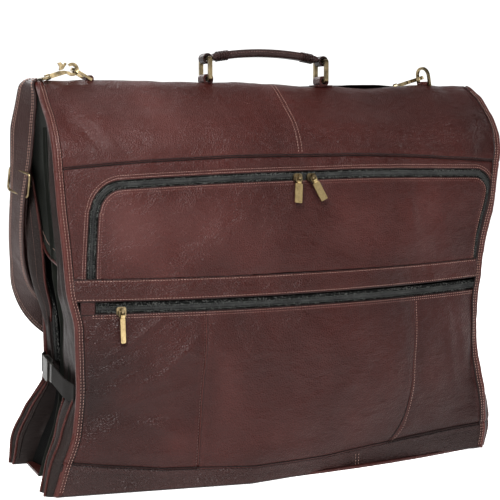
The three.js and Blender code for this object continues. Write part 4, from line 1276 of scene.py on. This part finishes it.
# ---- metal, plastic and webbing --------------------------------------------------------------
def softened(node, material, radius, body, segments=2, sharp=38):
    """A CAD part again with its hard edges rounded off."""
    source = bpy.data.objects[node]
    mesh = source.data.copy()
    mesh.name = node + "_rounded"
    made = bpy.data.objects.new(node + "_rounded", mesh)
    bpy.context.scene.collection.objects.link(made)
    mesh.materials.clear()
    mesh.materials.append(material)
    bevel = made.modifiers.new("edges", "BEVEL")
    bevel.width = radius * MM
    bevel.segments = segments
    bevel.limit_method = "ANGLE"
    bevel.angle_limit = math.radians(sharp)
    bevel.use_clamp_overlap = True
    bpy.context.view_layer.update()
    done = bpy.data.meshes.new_from_object(made.evaluated_get(bpy.context.evaluated_depsgraph_get()))
    made.modifiers.clear()
    made.data = done
    count = len(done.vertices)
    place = np.empty(count * 3, np.float32)
    done.vertices.foreach_get("co", place)
    uv = slanted_uv(place.reshape(-1, 3))
    loops = np.empty(len(done.loops), np.int32)
    done.loops.foreach_get("vertex_index", loops)
    layer = done.uv_layers.new(name="UVMap")
    layer.data.foreach_set("uv", uv[loops].astype(np.float32).ravel())
    done.polygons.foreach_set("use_smooth", np.ones(len(done.polygons), bool))
    done.set_sharp_from_angle(angle=math.radians(50))
    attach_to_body(made, body)
    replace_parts(made, node)
    return made


def node_box(node):
    """A CAD part's corners in the millimetres that the shapes are made in."""
    return [np.array(corner) / MM - [HANDLE_X, RIDGE_Y, 0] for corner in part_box(node)]


def hardware():
    for side in ("left", "right"):
        softened(f"handle_ring_{side}", OLD_BRASS, 1.4, f"handle_ring_{side}", 3)
        softened(f"d_ring_{side}", OLD_BRASS, 1.1, f"d_ring_{side}", 3)
        softened(f"snap_hook_{side}", OLD_BRASS, 1.2, f"snap_hook_{side}", 3)
        softened(f"hook_gate_{side}", OLD_BRASS, 0.8, f"hook_gate_{side}", 2)
        softened(f"hook_eye_{side}", OLD_BRASS, 0.7, "spine", 2)
        softened(f"handle_base_{side}", LEATHER, 0.8, "spine", 3)
        softened(f"d_ring_anchor_{side}", LEATHER, 0.7, "spine", 3)
        softened(f"buckle_socket_{side}", PLASTIC, 0.6, "back_half", 2)
        softened(f"buckle_tongue_{side}", PLASTIC, 0.5, "front_half", 2)
    for pull in ("upper_left", "upper_right", "lower"):
        softened(f"{pull}_slider", OLD_BRASS, 0.6, f"{pull}_slider", 2)
        softened(f"{pull}_pull_ring", OLD_BRASS, 0.45, f"{pull}_pull_ring", 2)
        softened(f"{pull}_pull_tab", BRASS, 0.5, f"{pull}_pull_tab", 2)
    softened("hanging_hook", OLD_BRASS, 0.5, "hanging_hook", 2)
    softened("hanger_bracket", OLD_BRASS, 1.5, "back_half", 3)
    softened("spine_stiffener", BOARD, 0.6, "spine", 2)
    for half in ("front", "back"):
        softened(f"{half}_hem", LEATHER, 0.5, f"{half}_half", 2)
        softened(f"{half}_lining", LINING, 0.3, f"{half}_half", 1)
    softened("garment_strap", WEBBING, 0.5, "back_half", 1)


UP = np.array([0.0, 0.0, 1.0])


def handle_grip():
    high = node_box("handle_grip")[1]
    ring_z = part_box("handle_ring_left")[1].z / MM - 2.5
    reach, rise = 85.0, high[2] - 5.5 - ring_z
    t = np.linspace(-1, 1, 90)
    radius = (reach**2 + rise**2) / (2 * rise)
    x = t * (reach - 7)
    arch = np.stack([x, np.zeros(90), ring_z + rise - radius + np.sqrt(radius**2 - x**2)], 1)
    line, width = rounded_ends(arch, 5.0)
    section = rounded_section(18.0, 10.6, 4.6, 6)
    waist = 1 - 0.10 * step_up(np.abs(line[:, 0]), 52, 78)
    points, faces = sweep(line, section, UP, np.stack([waist, width * waist], 1))
    wear_and_painted_light = 0.15 + 0.2 * (np.abs(points[:, 1]) > 7)
    grip = add_mesh("grip_leather", points, faces, STRAP_LEATHER, "leather", wear_and_painted_light=wear_and_painted_light)
    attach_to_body(grip, "handle_grip")
    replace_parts(grip, "handle_grip")
    # leather sleeves rolled round the rings' top bars, and the bound ends of the grip
    for side, label in SIDES.items():
        bar = np.stack([np.full(24, side * reach), np.linspace(-9, 9, 24), np.full(24, ring_z)], 1)
        tube, width = rounded_ends(bar, 1.5)
        ring = circle(7.0, 24)
        outer, quads = sweep(tube, ring, UP, 0.9 + 0.1 * width)
        inner, quads_in = sweep(tube, (ring * 0.6)[::-1], UP)
        rims = []
        total = len(outer)
        for row in (0, len(tube) - 1):
            a = np.arange(24) + row * 24
            b = total + row * 24 + (23 - np.arange(24))
            rim = np.stack([a, np.roll(a, -1), np.roll(b, -1), b], 1)
            rims.append(rim if row else rim[:, ::-1])
        sleeve = add_mesh(f"grip_sleeve_{label}", np.concatenate([outer, inner]),
                          [quads[0], quads_in[0] + total] + rims, STRAP_LEATHER, "leather")
        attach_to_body(sleeve, "handle_grip")
        bands = [ring_about(arch[5 + 2 * k] if side < 0 else arch[-6 - 2 * k], 9.6, 5.9, 1.0)
                 for k in range(5)]
        wrap = add_mesh(f"grip_binding_{label}", *merge(bands), STRAP_LEATHER, "leather")
        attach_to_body(wrap, "handle_grip")
    rows = [stitch_row(arch[14:-14] + [0, side * 8.6, 1.5], [0, side * 0.9, 0.5], 3.6, 2.6, 0.42)
            for side in SIDES]
    thread = add_mesh("grip_stitches", *merge(rows), BROWN_THREAD, "leather")
    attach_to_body(thread, "handle_grip")


def ring_about(place, half_wide, half_high, wire):
    """A closed ring of leather round the grip, in the plane across it."""
    line = place + np.column_stack([np.zeros(32), circle(1.0, 32) * [half_wide, half_high]])
    return sweep(line, circle(wire, 8), [1.0, 0.0, 0.0], closed=True)


def cinch_webbing():
    slope, width = math.radians(7), 20.0
    for side in ("left", "right"):
        for half, body in (("front", "front_half"), ("back", "back_half")):
            node = f"cinch_tail_{half}_{side}"
            low, high = node_box(node)
            middle = (low + high) / 2
            reach = (high[1] - low[1] - width * math.sin(slope)) / math.cos(slope) / 2
            direction = np.array([0, math.cos(slope), math.sin(slope)])
            out = -1.0 if side == "left" else 1.0
            t = np.linspace(-1, 1, 40)[:, None]
            inward = 5.0 * step_up(-t if half == "front" else t, 0.2, 1.0)
            line = middle + t * reach * direction - np.array([out, 0, 0]) * inward
            made = sweep(line, rounded_section(24.0, 2.2, 0.9, 3), np.array([out, 0.0, 0.0]))
            tail = add_mesh(f"cinch_webbing_{half}_{side}", *made, WEBBING, "webbing")
            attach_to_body(tail, body)
            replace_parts(tail, node)


def make_floor():
    mesh = bpy.data.meshes.new("floor")
    reach = 6.0
    mesh.from_pydata([(-reach, -reach, 0), (reach, -reach, 0), (reach, reach, 0), (-reach, reach, 0)], [],
                     [(0, 1, 2, 3)])
    floor = bpy.data.objects.new("floor", mesh)
    bpy.context.scene.collection.objects.link(floor)
    s = Shader("floor_paper")
    place = s.add("TexCoord", out=3)
    shade = s.mix(s.noise(place, 3.0), rgb(0.93, 0.93, 0.93), rgb(0.96, 0.96, 0.955))
    mesh.materials.append(s.surface(Base_Color=shade, Roughness=0.85, Emission_Color=rgb(1, 1, 1),
                                    Emission_Strength=0.65))


make_camera()
make_studio()
make_floor()
shoulder_strap()
front_yoke()
upper_pocket()
centre_band()
lower_front()
bottom_band()
bindings("front", FRONT, 260, (BINDING - 2.0, 3.6), 3.6, 0.3)
bag_ends()
back_side()
handle_grip()
hardware()
cinch_webbing()
